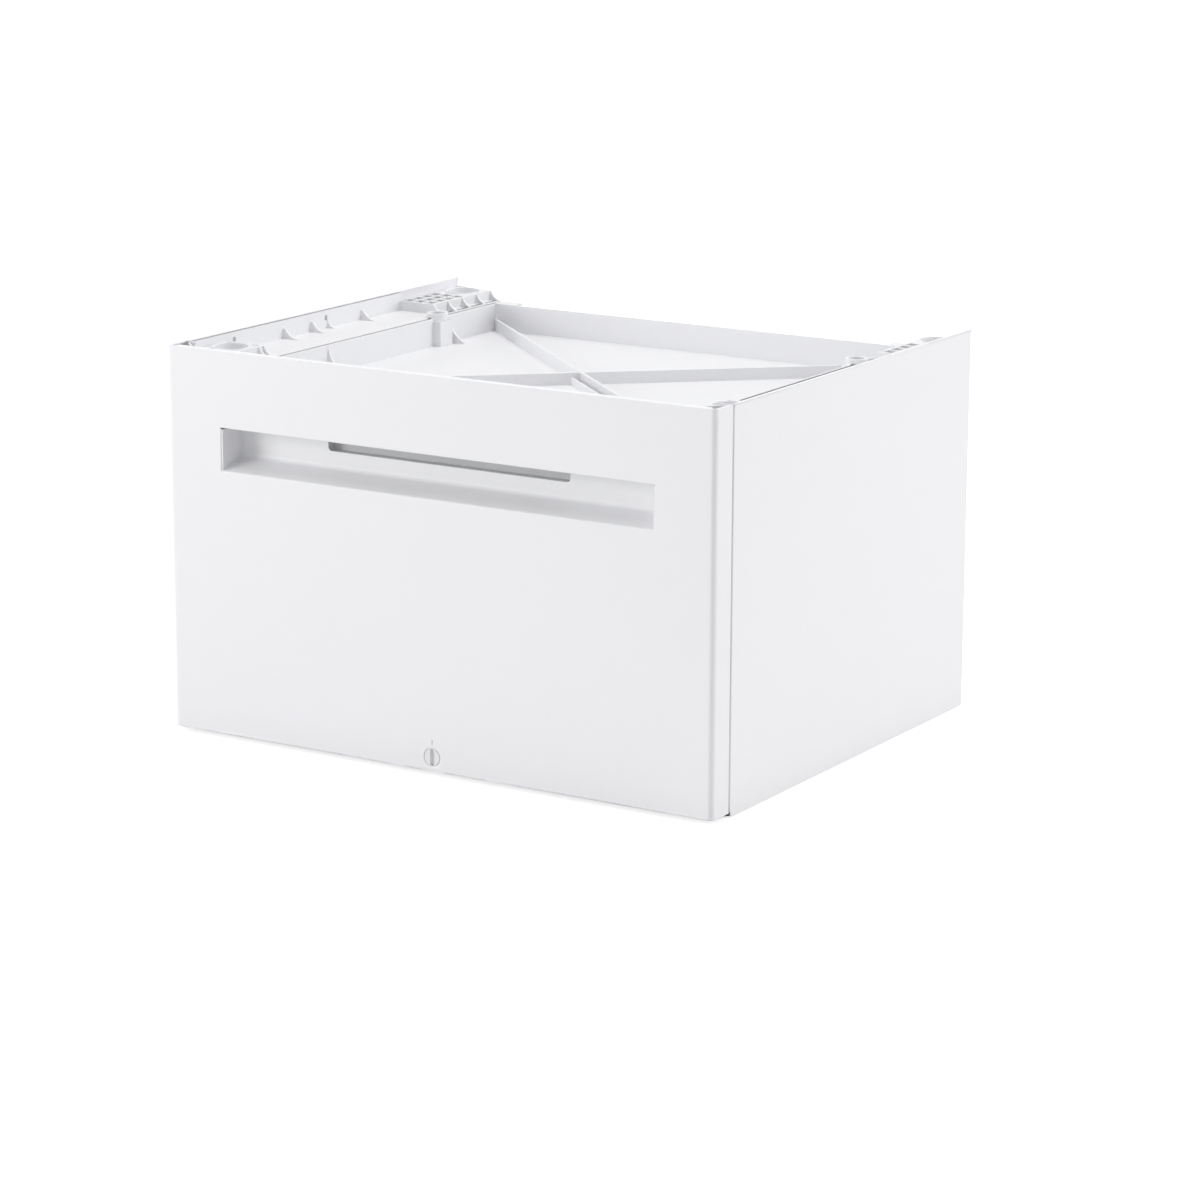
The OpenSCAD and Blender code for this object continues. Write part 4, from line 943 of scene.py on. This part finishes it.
def soft_lamp(name, place, target, width, height, power):
    """Area lamp at a place, turned to look at a target."""
    lamp = bpy.data.lights.new(name, "AREA")
    lamp.shape = "RECTANGLE"
    lamp.size = width
    lamp.size_y = height
    lamp.energy = power
    made = bpy.data.objects.new(name, lamp)
    bpy.context.scene.collection.objects.link(made)
    way = Vector(target) - Vector(place)
    made.matrix_world = Matrix.Translation(place) @ way.to_track_quat("-Z", "Y").to_matrix().to_4x4()


def studio_world(light, white):
    """World: an even pale light on the object, and plain white to the camera, mirrors and glass."""
    world = bpy.data.worlds.new("studio")
    bpy.context.scene.world = world
    world.use_nodes = True
    tree = world.node_tree
    tree.nodes.clear()
    out = tree.nodes.new("ShaderNodeOutputWorld")
    mix = tree.nodes.new("ShaderNodeMixShader")
    ambient = add(tree, "ShaderNodeBackground", Color=(0.99, 0.99, 1.0, 1), Strength=light)
    seen = add(tree, "ShaderNodeBackground", Color=(1, 1, 1, 1), Strength=white)
    path = tree.nodes.new("ShaderNodeLightPath")
    shown = maths(tree, "MAXIMUM", path.outputs["Is Camera Ray"],
                  maths(tree, "MAXIMUM", path.outputs["Is Glossy Ray"], path.outputs["Is Transmission Ray"]))
    tree.links.new(shown, mix.inputs[0])
    tree.links.new(ambient.outputs[0], mix.inputs[1])
    tree.links.new(seen.outputs[0], mix.inputs[2])
    tree.links.new(mix.outputs[0], out.inputs[0])


def photo_camera():
    """Camera at the photograph's place: azimuth, elevation and roll in degrees, and the focal length
    in pixels of a frame 1200 pixels wide."""
    place = Vector((1.9699, -3.1369, 1.0153))
    azimuth, elevation, roll = (math.radians(angle) for angle in (31.734, 13.613, 0.219))
    focal_pixels, frame_pixels = 3935.9, 1200
    way = Vector((-math.sin(azimuth) * math.cos(elevation), math.cos(azimuth) * math.cos(elevation),
                  -math.sin(elevation)))
    right = Vector((math.cos(azimuth), math.sin(azimuth), 0))
    up = right.cross(way)
    turned_right = math.cos(roll) * right + math.sin(roll) * up
    turned_up = math.cos(roll) * up - math.sin(roll) * right
    data = bpy.data.cameras.new("photo_camera")
    data.sensor_width = 36
    data.lens = data.sensor_width * focal_pixels / frame_pixels
    data.clip_end = 60
    camera = bpy.data.objects.new("photo_camera", data)
    bpy.context.scene.collection.objects.link(camera)
    turn = Matrix((turned_right, turned_up, -way)).transposed().to_4x4()
    camera.matrix_world = Matrix.Translation(place) @ turn
    bpy.context.scene.camera = camera


stage_floor()
studio_world(0.45, 1.0)
soft_lamp("top_softbox", (0.1, 0.2, 2.9), (0, 0, 0.3), 2.4, 2.4, 42)
soft_lamp("left_softbox", (-4.5, -4.1, 1.35), (-0.1, -0.2, 0.2), 2.7, 2.7, 185)
soft_lamp("right_softbox", (3.94, 2.1, 1.2), (0.2, 0, 0.2), 2.0, 2.4, 76)
photo_camera()
bpy.context.scene.view_settings.view_transform = "Standard"
